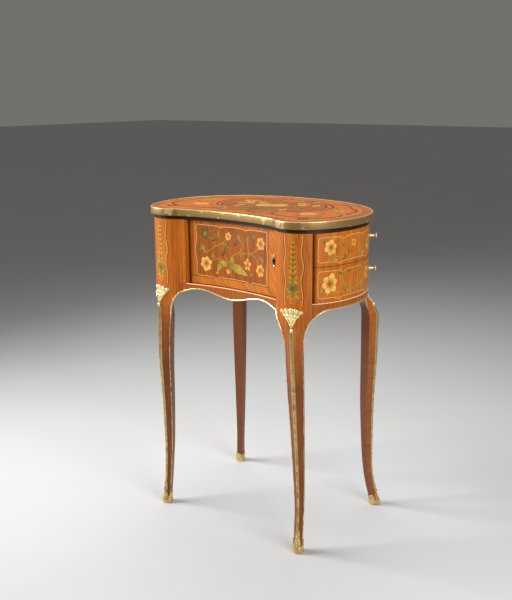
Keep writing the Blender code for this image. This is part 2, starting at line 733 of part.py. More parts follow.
def hollow_frame(x, inset, lift, z):
    """Place on the hollow: local X along it to the right, local Y inwards."""
    turn = math.asin(x / (HOLLOW_RADIUS + inset))
    out = HOLLOW_RADIUS + inset + lift
    place = Matrix.Translation((out * math.sin(turn), HOLLOW_CENTRE_Y + out * math.cos(turn), z))
    return place @ Matrix.Rotation(-turn, 4, "Z")


def build_door(floor, lid, partition):
    pivot_turn = math.asin(DOOR_PIVOT[0] / (HOLLOW_RADIUS + (DOOR_OUTER + DOOR_INNER) / 2))

    def face(inset):
        radius = HOLLOW_RADIUS + inset
        start = radius * math.sin(pivot_turn)
        return [hollow_point(x, inset) for x in spread(start, DOOR_EDGE_X, 17)]
    plan = face(DOOR_OUTER) + face(DOOR_INNER)[::-1]
    for step in range(1, 8):
        turn = math.pi / 2 - pivot_turn + math.pi * step / 8
        plan.append((DOOR_PIVOT[0] + DOOR_THICKNESS / 2 * math.cos(turn),
                     DOOR_PIVOT[1] + DOOR_THICKNESS / 2 * math.sin(turn)))
    door = board("door_panel", plan, DOOR_LOW, DOOR_HIGH, VENEER)
    moving = [door]
    holes = []
    for end, near, far in (("lower", DOOR_LOW + PIVOT_PIN_BITE, CASE_FLOOR_Z - PIVOT_PIN_REACH),
                           ("upper", DOOR_HIGH - PIVOT_PIN_BITE, CASE_TOP_UNDER_Z + PIVOT_PIN_REACH)):
        outward = math.copysign(FIT, far - near)
        pin = (PIVOT_PIN_RADIUS, abs(far - near), upright(*DOOR_PIVOT, near, far))
        moving.append(rods("door_pivot_" + end, [pin], GILT))
        holes.append((PIVOT_PIN_RADIUS + PIN_GAP, abs(far - near) + 2 * FIT,
                      upright(*DOOR_PIVOT, near - outward, far + outward)))
    hole_cutter = rods("door_pivot_holes", holes, None, CUTTERS)
    for thing in (door, floor, lid):
        cut(thing, hole_cutter)
    moving += build_escutcheon(door) + build_lock(door, partition)
    carry("door_axis", (*DOOR_PIVOT, 0.0), moving)


def build_escutcheon(door):
    key_x = DOOR_EDGE_X - KEY_SETBACK
    along_y = Matrix.Rotation(math.radians(90), 4, "X")
    frame = hollow_frame(key_x, DOOR_OUTER, -PLATE_THICKNESS / 2 - FIT, KEY_Z)
    oval = Matrix.Diagonal((PLATE_WIDTH, PLATE_THICKNESS, PLATE_HEIGHT, 1.0))
    bm = bmesh.new()
    rod_into(bm, 0.5, 1.0, frame @ oval @ along_y, 24)
    plate = add_object("escutcheon", mesh_from(bm, "escutcheon"), GILT)
    through = hollow_frame(key_x, DOOR_OUTER, DOOR_THICKNESS / 2, KEY_Z)
    depth = DOOR_THICKNESS + 4 * PLATE_THICKNESS
    bore = rods("key_bore", [(KEY_BORE_RADIUS, depth, through @ along_y)], None, CUTTERS)
    slot_place = through @ Matrix.Translation((0.0, 0.0, -KEY_SLOT_LENGTH / 2))
    slot = box("key_slot", (KEY_SLOT_WIDTH, depth, KEY_SLOT_LENGTH), slot_place, None, CUTTERS)
    for thing in (plate, door):
        cut(thing, bore)
        cut(thing, slot)
    return [plate]


def build_lock(door, partition):
    lock_x = DOOR_EDGE_X - LOCK_SETBACK - LOCK_WIDTH / 2
    frame = hollow_frame(lock_x, DOOR_INNER, FIT, KEY_Z)
    middle = frame @ Matrix.Translation((0.0, LOCK_DEPTH / 2, 0.0))
    case = box("lock_case", (LOCK_WIDTH, LOCK_DEPTH, LOCK_HEIGHT), middle, STEEL)
    bolt_x = LOCK_WIDTH / 2 - BOLT_SINK - BOLT_LENGTH / 2
    bolt = box("lock_bolt", (BOLT_LENGTH, BOLT_THICKNESS, BOLT_HEIGHT),
               middle @ Matrix.Translation((bolt_x, 0.0, 0.0)), GILT)
    room = (BOLT_LENGTH + 2 * BOLT_SINK + 2 * FIT, BOLT_THICKNESS + 2 * PIN_GAP, BOLT_HEIGHT + 2 * PIN_GAP)
    slot_place = middle @ Matrix.Translation((bolt_x + BOLT_SINK, 0.0, 0.0))
    cut(case, box("bolt_slot", room, slot_place, None, CUTTERS))
    thrown = middle @ Matrix.Translation((bolt_x + BOLT_TRAVEL, 0.0, 0.0))
    mortise_size = (BOLT_LENGTH + 2 * RUNNING_GAP, BOLT_THICKNESS + 2 * PIN_GAP, BOLT_HEIGHT + 2 * PIN_GAP)
    mortise = box("bolt_mortise", mortise_size, thrown, None, CUTTERS)
    cut(partition, mortise)
    door_back = hollow_point(DOOR_EDGE_X, DOOR_INNER)[1]
    strike_y = door_back + FIT + STRIKE_WIDTH / 2
    strike_x = CUSP_X - FIT - STRIKE_THICKNESS / 2
    strike = box("strike_plate", (STRIKE_THICKNESS, STRIKE_WIDTH, STRIKE_HEIGHT),
                 Matrix.Translation((strike_x, strike_y, KEY_Z)), GILT)
    cut(strike, mortise)
    return [case, bolt] + build_lock_screws(door, case, frame)


def build_lock_screws(door, case, frame):
    length = LOCK_SCREW_HEAD_HEIGHT + FIT + LOCK_DEPTH + FIT + LOCK_SCREW_BITE
    screws = []
    holes = []
    for name, side in (("upper", -1), ("lower", 1)):
        spot = Vector((side * (LOCK_WIDTH / 2 - LOCK_SCREW_EDGE), LOCK_DEPTH + FIT + LOCK_SCREW_HEAD_HEIGHT,
                       -side * (LOCK_HEIGHT / 2 - LOCK_SCREW_EDGE)))
        place = frame @ Matrix.Translation(spot) @ Matrix.Rotation(math.radians(90), 4, "X")
        screws.append(screw("lock_screw_" + name, place, LOCK_SCREW_HEAD_RADIUS, LOCK_SCREW_HEAD_HEIGHT,
                            LOCK_SCREW_RADIUS, length))
        hole_middle = place @ Matrix.Translation((0.0, 0.0, length / 2 + FIT))
        holes.append((LOCK_SCREW_RADIUS + PIN_GAP, length, hole_middle))
    cutter = rods("lock_screw_holes", holes, None, CUTTERS)
    cut(door, cutter)
    cut(case, cutter)
    return screws


# Drawers: they turn on one rod at the front post, inside a circle about it
def beside_post(angle):
    """Distance of a pivot at this angle from the end face of the front post."""
    edge = Vector(side_point(FRONT_POST_END_ANGLE, RIM_OVERHANG))
    face = (Vector(POST_CORNER) - edge).normalized()
    away = Vector(side_point(angle, RIM_OVERHANG + KNUCKLE_RADIUS)) - edge
    return away.x * face.y - away.y * face.x


PIVOT_ANGLE = solve(lambda angle: beside_post(angle) - KNUCKLE_RADIUS - RUNNING_GAP,
                    FRONT_POST_END_ANGLE, 0.0)
DRAWER_PIVOT = side_point(PIVOT_ANGLE, RIM_OVERHANG + KNUCKLE_RADIUS)
FAR_RADIUS = BACK_POST_Y - DRAWER_PIVOT[1] - RUNNING_GAP
DRAWER_LEFT = CUSP_X + PARTITION_THICKNESS + RUNNING_GAP
DRAWER_INNER = RIM_OVERHANG + 2 * KNUCKLE_RADIUS
DRAWER_NEAR = POST_CORNER[1] + RUNNING_GAP


def reach_angle(inset, radius):
    """Where the side at an inset leaves a circle about the drawers' pivot."""
    def beyond(angle):
        x, y = side_point(angle, inset)
        return math.hypot(x - DRAWER_PIVOT[0], y - DRAWER_PIVOT[1]) - radius
    return solve(beyond, PIVOT_ANGLE, 60.0)


def far_point(x, radius):
    return (x, DRAWER_PIVOT[1] + math.sqrt(radius ** 2 - (x - DRAWER_PIVOT[0]) ** 2))


def drawer_front_plan():
    outer = side_path(PIVOT_ANGLE, reach_angle(RIM_OVERHANG, FAR_RADIUS), RIM_OVERHANG, 21)
    inner = side_path(PIVOT_ANGLE, reach_angle(DRAWER_INNER, FAR_RADIUS), DRAWER_INNER, 21)
    plan = outer + inner[::-1]
    first = math.atan2(inner[0][1] - DRAWER_PIVOT[1], inner[0][0] - DRAWER_PIVOT[0])
    last = math.atan2(outer[0][1] - DRAWER_PIVOT[1], outer[0][0] - DRAWER_PIVOT[0]) + 2 * math.pi
    for turn in spread(first, last, 9)[1:-1]:
        plan.append((DRAWER_PIVOT[0] + KNUCKLE_RADIUS * math.cos(turn),
                     DRAWER_PIVOT[1] + KNUCKLE_RADIUS * math.sin(turn)))
    return plan


def drawer_box_plans():
    """Plans of the walls and the bottom behind a drawer front."""
    inside = DRAWER_LEFT + DRAWER_WALL
    near_top = DRAWER_NEAR + DRAWER_WALL
    near_right = DRAWER_PIVOT[0] - KNUCKLE_RADIUS - FIT
    far_right = side_point(reach_angle(DRAWER_INNER, FAR_RADIUS), DRAWER_INNER)[0] - FIT
    far_xs = spread(inside + FIT, far_right, 5)
    floor_inset = DRAWER_INNER + FIT
    floor_radius = FAR_RADIUS - DRAWER_WALL - FIT
    first = solve(lambda angle: side_point(angle, floor_inset)[1] - near_top - FIT, -90.0, 0.0)
    floor_edge = side_path(first, reach_angle(floor_inset, floor_radius), floor_inset, 13)
    floor_far = [far_point(x, floor_radius) for x in spread(floor_edge[-1][0], inside + FIT, 5)[1:]]
    return {
        "inner_side": [(DRAWER_LEFT, DRAWER_NEAR), (inside, DRAWER_NEAR),
                       far_point(inside, FAR_RADIUS), far_point(DRAWER_LEFT, FAR_RADIUS)],
        "near_side": [(inside + FIT, DRAWER_NEAR), (near_right, DRAWER_NEAR),
                      (near_right, near_top), (inside + FIT, near_top)],
        "far_side": [far_point(x, FAR_RADIUS) for x in far_xs]
        + [far_point(x, FAR_RADIUS - DRAWER_WALL) for x in far_xs[::-1]],
        "bottom": [(inside + FIT, near_top + FIT)] + floor_edge + floor_far,
    }


def knob_frame(z):
    """Foot of a knob on the drawer front, with its axis along local Z, straight out of the face."""
    angle = angle_at_y(BACK_POST_Y - KNOB_SETBACK, RIM_OVERHANG)
    x, y = side_point(angle, RIM_OVERHANG)
    behind = side_point(angle - 0.5, RIM_OVERHANG)
    ahead = side_point(angle + 0.5, RIM_OVERHANG)
    along = Vector((ahead[0] - behind[0], ahead[1] - behind[1], 0.0)).normalized()
    out = Vector((along.y, -along.x, 0.0))
    turn = Matrix((along, (0.0, 0.0, 1.0), out)).transposed().to_4x4()
    return Matrix.Translation((x, y, z)) @ turn


def build_knob(name, front, z):
    frame = knob_frame(z)
    stud_end = -KNOB_STUD_LENGTH
    neck = KNOB_REACH - KNOB_DISC_HEIGHT
    profile = [(0.0, KNOB_REACH), (KNOB_DISC_RADIUS * 0.8, KNOB_REACH - KNOB_DISC_HEIGHT * 0.15),
               (KNOB_DISC_RADIUS, KNOB_REACH - KNOB_DISC_HEIGHT * 0.5), (KNOB_DISC_RADIUS * 0.8, neck),
               (KNOB_SHANK_RADIUS, neck), (KNOB_SHANK_RADIUS, KNOB_BASE_RADIUS / 2),
               (KNOB_BASE_RADIUS, FIT * 4), (KNOB_BASE_RADIUS, FIT),
               (KNOB_STUD_RADIUS, FIT), (KNOB_STUD_RADIUS, stud_end), (0.0, stud_end)]
    knob = turned(name + "_knob", profile, frame, GILT)
    hole = rods(name + "_stud_hole", [(KNOB_STUD_RADIUS + PIN_GAP, 2 * (KNOB_STUD_LENGTH + FIT), frame)],
                None, CUTTERS)
    cut(front, hole)
    return knob


def build_drawers(apron, lid):
    low = CASE_FLOOR_Z - ROD_REACH
    high = CASE_TOP_UNDER_Z + ROD_REACH
    rods("drawer_pivot_rod", [(ROD_RADIUS, high - low, upright(*DRAWER_PIVOT, low, high))], GILT)
    bore = rods("drawer_pivot_bore", [(ROD_RADIUS + PIN_GAP, high - low + 2 * FIT,
                                       upright(*DRAWER_PIVOT, low, high))], None, CUTTERS)
    cut(apron, bore)
    cut(lid, bore)
    shelf = DUST_BOARD_THICKNESS / 2 + RUNNING_GAP
    half_gap = RUNNING_GAP / 2
    heights = {
        "lower": (CASE_FLOOR_Z + RUNNING_GAP, DRAWER_SPLIT_Z - half_gap, CASE_FLOOR_Z + RUNNING_GAP,
                  DRAWER_SPLIT_Z - shelf),
        "upper": (DRAWER_SPLIT_Z + half_gap, CASE_TOP_UNDER_Z - RUNNING_GAP, DRAWER_SPLIT_Z + shelf,
                  CASE_TOP_UNDER_Z - RUNNING_GAP),
    }
    plans = drawer_box_plans()
    for which, (front_low, front_high, box_low, box_high) in heights.items():
        name = "drawer_" + which
        front = board(name + "_front", drawer_front_plan(), front_low, front_high, VENEER)
        cut(front, bore)
        moving = [front]
        for wall in ("inner_side", "near_side", "far_side"):
            moving.append(board(f"{name}_{wall}", plans[wall], box_low, box_high, OAK))
        floor_high = box_low + DRAWER_BOTTOM_THICKNESS
        moving.append(board(name + "_bottom", plans["bottom"], box_low, floor_high, OAK))
        moving.append(build_knob(name, front, (front_low + front_high) / 2 + KNOB_RISE))
        carry(name + "_axis", (*DRAWER_PIVOT, 0.0), moving)


def shade_round_pieces():
    for thing in PARTS.objects:
        if thing.type == "MESH":
            thing.data.shade_smooth()
            thing.data.set_sharp_from_angle(angle=math.radians(35))


def build_table():
    lid = build_top()
    floor, partition = build_case()
    right_apron = build_aprons()
    build_legs()
    build_door(floor, lid, partition)
    build_dust_board(DRAWER_PIVOT)
    build_drawers(right_apron, lid)
    shade_round_pieces()


build_table()
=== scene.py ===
import random
from bisect import bisect_right
from itertools import accumulate
from math import asin, atan2, copysign, cos, degrees, dist, exp, hypot, inf, pi, radians, sin, sqrt

import bmesh
import bpy
from mathutils import Matrix, Vector


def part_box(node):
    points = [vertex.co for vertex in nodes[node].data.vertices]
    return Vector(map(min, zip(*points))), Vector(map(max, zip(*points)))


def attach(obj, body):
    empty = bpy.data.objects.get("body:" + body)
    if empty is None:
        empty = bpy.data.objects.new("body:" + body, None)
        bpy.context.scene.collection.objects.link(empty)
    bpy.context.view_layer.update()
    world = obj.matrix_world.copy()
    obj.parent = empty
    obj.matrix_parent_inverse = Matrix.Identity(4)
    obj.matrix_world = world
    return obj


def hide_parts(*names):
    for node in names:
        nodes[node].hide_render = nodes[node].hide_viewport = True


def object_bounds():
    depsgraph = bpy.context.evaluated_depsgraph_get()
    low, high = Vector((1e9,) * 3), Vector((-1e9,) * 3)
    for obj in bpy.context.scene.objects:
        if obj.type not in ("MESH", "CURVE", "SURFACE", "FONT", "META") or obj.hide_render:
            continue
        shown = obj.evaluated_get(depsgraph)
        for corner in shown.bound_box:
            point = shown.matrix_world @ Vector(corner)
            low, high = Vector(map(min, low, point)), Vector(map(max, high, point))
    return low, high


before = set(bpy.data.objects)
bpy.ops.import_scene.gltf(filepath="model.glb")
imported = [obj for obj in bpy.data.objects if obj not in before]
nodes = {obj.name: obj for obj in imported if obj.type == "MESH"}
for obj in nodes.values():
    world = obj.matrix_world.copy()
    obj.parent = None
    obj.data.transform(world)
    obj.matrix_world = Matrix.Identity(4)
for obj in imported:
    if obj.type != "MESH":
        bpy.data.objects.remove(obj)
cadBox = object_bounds()
scene = bpy.context.scene
print("frame loaded:", len(nodes), "nodes")

# kidney plan of the table, in metres, as the solids have it
kidney = {
    "halfWidth": 0.255, "backDepth": 0.1973, "backFullness": 2.15,
    "lobeHalfWidth": 0.0866, "lobeDepth": 0.1383,
    "hollowRadius": 0.5095, "hollowStep": 0.0027,
    "overhang": 0.0075,      # rim beyond the case
    "doorRecess": 0.0080,
    "frontArris": -81.0, "frontPostEnd": -54.4,      # angles on the front lobe
    "backPostSetback": 0.1150, "backPostSideInset": 0.1074, "backPostProud": 0.0050, "postDepth": 0.0180,
    "flareDrop": 0.0315, "flareHeight": 0.0560,      # where a leg sweeps out, below the case floor
}
centreY = (kidney["lobeDepth"] - kidney["backDepth"]) / 2
lobeX = kidney["halfWidth"] - kidney["lobeHalfWidth"]
hollowY = (centreY - kidney["lobeDepth"] + kidney["hollowStep"]
           - sqrt(kidney["hollowRadius"] ** 2 - lobeX ** 2))
overhang = kidney["overhang"]
doorRadius = kidney["hollowRadius"] + (overhang + kidney["doorRecess"])
backPostY = centreY + kidney["backPostSetback"]
backPostX = kidney["halfWidth"] - kidney["backPostSideInset"]

# heights, read from the frame
tableHeight = cadBox[1].z
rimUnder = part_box("top_rim")[0].z
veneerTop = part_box("top_panel")[1].z
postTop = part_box("leg_front_right")[1].z
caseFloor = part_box("case_bottom")[1].z
flareTop = caseFloor - kidney["flareDrop"]
kneeZ = flareTop - kidney["flareHeight"]


def sidePoint(angle, inset):
    # right half of the plan: below 0 degrees on the front lobe, above 0 on the back
    turn = radians(angle)
    if angle < 0:
        return (lobeX + (kidney["lobeHalfWidth"] - inset) * cos(turn),
                centreY + (kidney["lobeDepth"] - inset) * sin(turn))
    power = 2 / kidney["backFullness"]
    return ((kidney["halfWidth"] - inset) * max(cos(turn), 0.0) ** power,
            centreY + (kidney["backDepth"] - inset) * sin(turn) ** power)


def hollowPoint(x, inset):
    return (x, hollowY + sqrt((kidney["hollowRadius"] + inset) ** 2 - x ** 2))


def solve(function, low, high):
    sign = function(low) > 0
    for _ in range(60):
        middle = (low + high) / 2
        if (function(middle) > 0) == sign:
            low = middle
        else:
            high = middle
    return (low + high) / 2


def cuspAngle(inset):
    def gap(angle):
        x, y = sidePoint(angle, inset)
        return y - hollowPoint(x, inset)[1]
    return solve(gap, -179.0, -90.0)


def angleAtY(y, inset):
    return solve(lambda angle: sidePoint(angle, inset)[1] - y, 0.0, 90.0)


def angleAtX(x, inset):
    return solve(lambda angle: sidePoint(angle, inset)[0] - x, 0.0, 90.0)


def spread(first, last, count):
    return [first + (last - first) * step / (count - 1) for step in range(count)]


def roundTurn(count):
    return spread(0.0, 2 * pi, count + 1)[:-1]


def mix(first, second, share):
    return tuple(a + (b - a) * share for a, b in zip(first, second))


def straightLine(first, last, count):
    return [mix(first, last, step / (count - 1)) for step in range(count)]


def clamped(value):
    return min(max(value, 0.0), 1.0)


def smooth(share):
    return share * share * (3 - 2 * share)


def hump(distance, width):
    return exp(-(distance / width) ** 2)


def flipped(point, flip=True):
    return (-point[0], *point[1:]) if flip else tuple(point)


def mirrored(points):
    return [flipped(point) for point in points]


def outline(inset, perStretch=40):
    # whole kidney, from the middle of the front round by the right
    cusp = cuspAngle(inset)
    half = [hollowPoint(x, inset) for x in spread(0.0, sidePoint(cusp, inset)[0], perStretch // 2)]
    half += [sidePoint(angle, inset) for angle in spread(cusp, 0.0, perStretch)[1:]]
    half += [sidePoint(angle, inset) for angle in spread(0.0, 90.0, perStretch)[1:]]
    return half + mirrored(half[1:-1])[::-1]


def curveThrough(points, steps=8):
    # smooth path through given points
    last = len(points) - 1
    made = []
    for i in range(last):
        four = [points[min(max(i + k, 0), last)] for k in (-1, 0, 1, 2)]
        for step in range(steps):
            t = step / steps
            made.append(tuple(0.5 * (2 * b + (c - a) * t + (2 * a - 5 * b + 4 * c - d) * t * t
                                     + (3 * b - a - 3 * c + d) * t ** 3) for a, b, c, d in zip(*four)))
    return made + [tuple(points[-1])]


def drawn(points, side=1, rise=0.0):
    # smooth path through points in millimetres; side -1 mirrors it
    return curveThrough([(side * (u / 1000), rise + v / 1000) for u, v in points])


cuspX = sidePoint(cuspAngle(overhang), overhang)[0]
print("plan set: cusps at", round(cuspX, 4), "case floor at", round(caseFloor, 4))


# node helpers, for geometry and shaders alike
def addNode(tree, kind, inputs=None, **settings):
    node = tree.nodes.new(kind)
    for key, value in settings.items():
        setattr(node, key, value)
    for label, value in (inputs or {}).items():
        if isinstance(value, bpy.types.NodeSocket):
            tree.links.new(value, node.inputs[label])
        else:
            node.inputs[label].default_value = value
    return node


def addGroup(tree, group, inputs):
    return addNode(tree, "ShaderNodeGroup", inputs, node_tree=group).outputs


def startTree(name, kind, inputs, outputs):
    tree = bpy.data.node_groups.new(name, kind)
    for label, socketKind, value in inputs:
        socket = tree.interface.new_socket(label, in_out="INPUT", socket_type="NodeSocket" + socketKind)
        if value is not None:
            socket.default_value = value
    for label, socketKind in outputs:
        tree.interface.new_socket(label, in_out="OUTPUT", socket_type="NodeSocket" + socketKind)
    return tree, tree.nodes.new("NodeGroupInput").outputs, tree.nodes.new("NodeGroupOutput").inputs


def maths(tree, operation, first, second=0.0, third=0.0):
    return addNode(tree, "ShaderNodeMath", {0: first, 1: second, 2: third}, operation=operation).outputs[0]


def ranged(tree, value, low, high, toLow=0.0, toHigh=1.0):
    return addNode(tree, "ShaderNodeMapRange", {"Value": value, "From Min": low, "From Max": high,
                                                "To Min": toLow, "To Max": toHigh}).outputs[0]


def apart(tree, value, middle):
    return maths(tree, "ABSOLUTE", maths(tree, "SUBTRACT", value, middle))


def split(tree, vector):
    return addNode(tree, "ShaderNodeSeparateXYZ", {0: vector}).outputs


def stretched(tree, vector, scale):
    return addNode(tree, "ShaderNodeMapping", {"Vector": vector, "Scale": scale}).outputs[0]


def mixColour(tree, share, first, second, blend="MIX"):
    return addNode(tree, "ShaderNodeMix", {0: share, 6: first, 7: second},
                   data_type="RGBA", blend_type=blend).outputs[2]


def noise(tree, vector, scale, detail=3.0, roughness=0.55):
    return addNode(tree, "ShaderNodeTexNoise", {"Vector": vector, "Scale": scale, "Detail": detail,
                                                "Roughness": roughness}).outputs[0]


# shader groups shared by the materials
grainDesign = {"fineScale": 4.3, "contrast": (0.36, 0.64), "cloudScale": 17.0, "cloud": (0.32, 0.68)}
ageDesign = {"patches": (0.38, 0.66), "speckScale": 900.0, "specks": (0.55, 0.75, 0.0, 0.25),
             "roughness": (0.22, 0.48), "hollows": (0.15, 0.7, 1.1)}
cutDesign = {"root": 0.55, "edge": 0.78, "tip": 0.92, "veinWidth": 0.10, "vein": 0.22}


def makeVeneerGrain():
    tree, take, give = startTree("veneerGrain", "ShaderNodeTree", (
        ("Along", "Vector", None), ("Place", "Vector", None), ("Light", "Color", (0.5, 0.2, 0.05, 1)),
        ("Dark", "Color", (0.25, 0.08, 0.02, 1)), ("Streaks", "Float", 0.5), ("Patina", "Float", 0.2)),
        (("Color", "Color"), ("Height", "Float")))
    broad = noise(tree, take["Along"], 1.0)
    fine = noise(tree, take["Along"], grainDesign["fineScale"], 4.0, 0.65)
    blend = addNode(tree, "ShaderNodeMix", {0: take["Streaks"], 2: broad, 3: fine}).outputs[0]
    lines = ranged(tree, blend, *grainDesign["contrast"])
    wood = mixColour(tree, lines, take["Dark"], take["Light"])
    cloud = ranged(tree, noise(tree, take["Place"], grainDesign["cloudScale"], 4.0), *grainDesign["cloud"])
    dulled = mixColour(tree, maths(tree, "MULTIPLY", cloud, take["Patina"]), wood, take["Dark"])
    tree.links.new(dulled, give["Color"])
    tree.links.new(lines, give["Height"])
    return tree


def makeBrassAge():
    tree, take, give = startTree("brassAge", "ShaderNodeTree", (
        ("Place", "Vector", None), ("Bright", "Color", (0.8, 0.6, 0.3, 1)),
        ("Tarnish", "Color", (0.2, 0.15, 0.06, 1)), ("Age", "Float", 0.5), ("Patch Size", "Float", 60.0)),
        (("Color", "Color"), ("Roughness", "Float"), ("Height", "Float")))
    patches = noise(tree, take["Place"], take["Patch Size"], 6.0, 0.62)
    specks = noise(tree, take["Place"], ageDesign["speckScale"], 3.0)
    mottled = maths(tree, "ADD", ranged(tree, patches, *ageDesign["patches"]),
                    ranged(tree, specks, *ageDesign["specks"]))
    share = addNode(tree, "ShaderNodeMath", {0: mottled, 1: take["Age"]}, operation="MULTIPLY",
                    use_clamp=True).outputs[0]
    tree.links.new(mixColour(tree, share, take["Bright"], take["Tarnish"]), give["Color"])
    tree.links.new(ranged(tree, share, 0.0, 1.0, *ageDesign["roughness"]), give["Roughness"])
    tree.links.new(specks, give["Height"])
    return tree


def makeCutEdges():
    # marquetry piece: sand-shaded root, dark saw cut round its edge, fine vein in the middle
    tree, take, give = startTree("cutEdges", "ShaderNodeTree", (
        ("UV", "Vector", None), ("Root Shade", "Float", 0.5), ("Saw Cut", "Float", 0.6)),
        (("Shade", "Float"),))
    along, sideways, _ = split(tree, take["UV"])
    across = maths(tree, "ABSOLUTE", maths(tree, "MULTIPLY_ADD", sideways, 2.0, -1.0))
    root = maths(tree, "MULTIPLY", ranged(tree, along, 0.0, cutDesign["root"], 1.0, 0.0), take["Root Shade"])
    saw = maths(tree, "MULTIPLY", ranged(tree, across, cutDesign["edge"], 1.0), take["Saw Cut"])
    tip = maths(tree, "MULTIPLY", ranged(tree, along, cutDesign["tip"], 1.0), take["Saw Cut"])
    vein = ranged(tree, across, 0.0, cutDesign["veinWidth"], cutDesign["vein"], 0.0)
    dark = maths(tree, "MAXIMUM", maths(tree, "MAXIMUM", saw, tip), maths(tree, "ADD", root, vein))
    tree.links.new(maths(tree, "SUBTRACT", 1.0, dark), give["Shade"])
    return tree


veneerGrain = makeVeneerGrain()
brassAge = makeBrassAge()
cutEdges = makeCutEdges()

# french polish on the woods, and how far the grain shows in it
polishDesign = {"roughness": 0.38, "coat": 0.13, "coatRoughness": 0.2, "specular": 0.22,
                "grainRoughness": (0.44, 0.32), "grainBump": 0.12}
bandingDesign = {"segment": 0.021, "swayScale": 22.0, "sway": 0.4, "run": 420.0, "across": 0.35, "tone": 0.62,
                 "joint": (0.475, 0.5, 0.0, 0.55), "lineAt": 0.955, "line": (0.012, 0.03, 0.5, 0.0),
                 "seam": (0.05, 0.016, 0.006, 1)}
uprightGrain = (240.0, 240.0, 9.0)
fieldGrain = (300.0, 300.0, 10.0)
topGrain = (330.0, 7.0, 1.0)
carcaseGrain = (12.0, 260.0, 260.0)
inlayDesign = {"fibre": (700.0, 700.0, 120.0), "shade": (0.3, 0.7, 0.74, 1.12),
               "rootShade": 0.5, "sawCut": 0.6}
# post above a leg: its veneer, where it fades into the leg's, and the painted shade that darkens the inner
# faces
legFinish = {"light": (0.62, 0.172, 0.015), "dark": (0.25, 0.056, 0.005),
             "fade": (kneeZ - 0.09, flareTop + 0.02), "behind": (1.02, 1.06, 0.0, 0.75)}


def startMaterial(name, roughness=polishDesign["roughness"], coat=polishDesign["coat"]):
    material = bpy.data.materials.new(name)
    material.use_nodes = True
    tree = material.node_tree
    shader = tree.nodes["Principled BSDF"]
    shader.inputs["Roughness"].default_value = roughness
    shader.inputs["Coat Weight"].default_value = coat
    shader.inputs["Coat Roughness"].default_value = polishDesign["coatRoughness"]
    shader.inputs["Specular IOR Level"].default_value = polishDesign["specular"]
    return material, tree, shader


def roughen(tree, shader, height, strength, distance=0.0002):
    bump = addNode(tree, "ShaderNodeBump", {"Strength": strength, "Distance": distance, "Height": height})
    tree.links.new(bump.outputs[0], shader.inputs["Normal"])


def addGrain(tree, along, place, light, dark, streaks, patina):
    return addGroup(tree, veneerGrain, {"Along": along, "Place": place, "Light": (*light, 1),
                                        "Dark": (*dark, 1), "Streaks": streaks, "Patina": patina})


def polishWood(tree, shader, colour, height):
    tree.links.new(colour, shader.inputs["Base Color"])
    gloss = ranged(tree, height, 0.0, 1.0, *polishDesign["grainRoughness"])
    tree.links.new(gloss, shader.inputs["Roughness"])
    roughen(tree, shader, height, polishDesign["grainBump"])


def woodMaterial(name, light, dark, scale, turn=(0.0, 0.0, 0.0), coords="Object", streaks=0.5,
                 patina=0.25, coat=polishDesign["coat"]):
    material, tree, shader = startMaterial(name, coat=coat)
    spot = addNode(tree, "ShaderNodeTexCoord").outputs
    # texture mapping turns the grain before it is stretched
    along = addNode(tree, "ShaderNodeMapping", {"Vector": spot[coords], "Rotation": turn,
                                                "Scale": [1 / part for part in scale]},
                    vector_type="TEXTURE").outputs[0]
    grain = addGrain(tree, along, spot["Object"], light, dark, streaks, patina)
    polishWood(tree, shader, grain["Color"], grain["Height"])
    return material


def brassMaterial(name, bright, tarnish, age, patchSize, brightenUpwards=None, relief=False, metal=1.0):
    material, tree, shader = startMaterial(name, 0.3, 0.0)
    shader.inputs["Metallic"].default_value = metal
    place = addNode(tree, "ShaderNodeTexCoord").outputs["Object"]
    ageShare = age
    if brightenUpwards:       # brighter from one height up to another
        low, high, ageAtTop = brightenUpwards
        ageShare = ranged(tree, split(tree, place)[2], low, high, age, ageAtTop)
    if relief:       # dark in the hollows of the chasing
        depth = addNode(tree, "ShaderNodeAttribute", attribute_name="relief").outputs["Fac"]
        ageShare = ranged(tree, depth, *ageDesign["hollows"], age)
    aged = addGroup(tree, brassAge, {"Place": place, "Bright": (*bright, 1), "Tarnish": (*tarnish, 1),
                                     "Age": ageShare, "Patch Size": patchSize})
    tree.links.new(aged["Color"], shader.inputs["Base Color"])
    tree.links.new(aged["Roughness"], shader.inputs["Roughness"])
    roughen(tree, shader, aged["Height"], 0.08, 0.0001)
    return material


def inlayMaterial(name, shaped):
    # marquetry woods: each piece carries its own tint
    material, tree, shader = startMaterial(name)
    tint = addNode(tree, "ShaderNodeAttribute", attribute_name="tint").outputs["Color"]
    spot = addNode(tree, "ShaderNodeTexCoord").outputs
    fibre = noise(tree, stretched(tree, spot["Object"], inlayDesign["fibre"]), 1.0, 3.0)
    shade = ranged(tree, fibre, *inlayDesign["shade"])
    if shaped:
        cuts = addGroup(tree, cutEdges, {"UV": spot["UV"], "Root Shade": inlayDesign["rootShade"],
                                         "Saw Cut": inlayDesign["sawCut"]})
        shade = maths(tree, "MULTIPLY", shade, cuts["Shade"])
    tree.links.new(mixColour(tree, 1.0, tint, shade, "MULTIPLY"), shader.inputs["Base Color"])
    return material


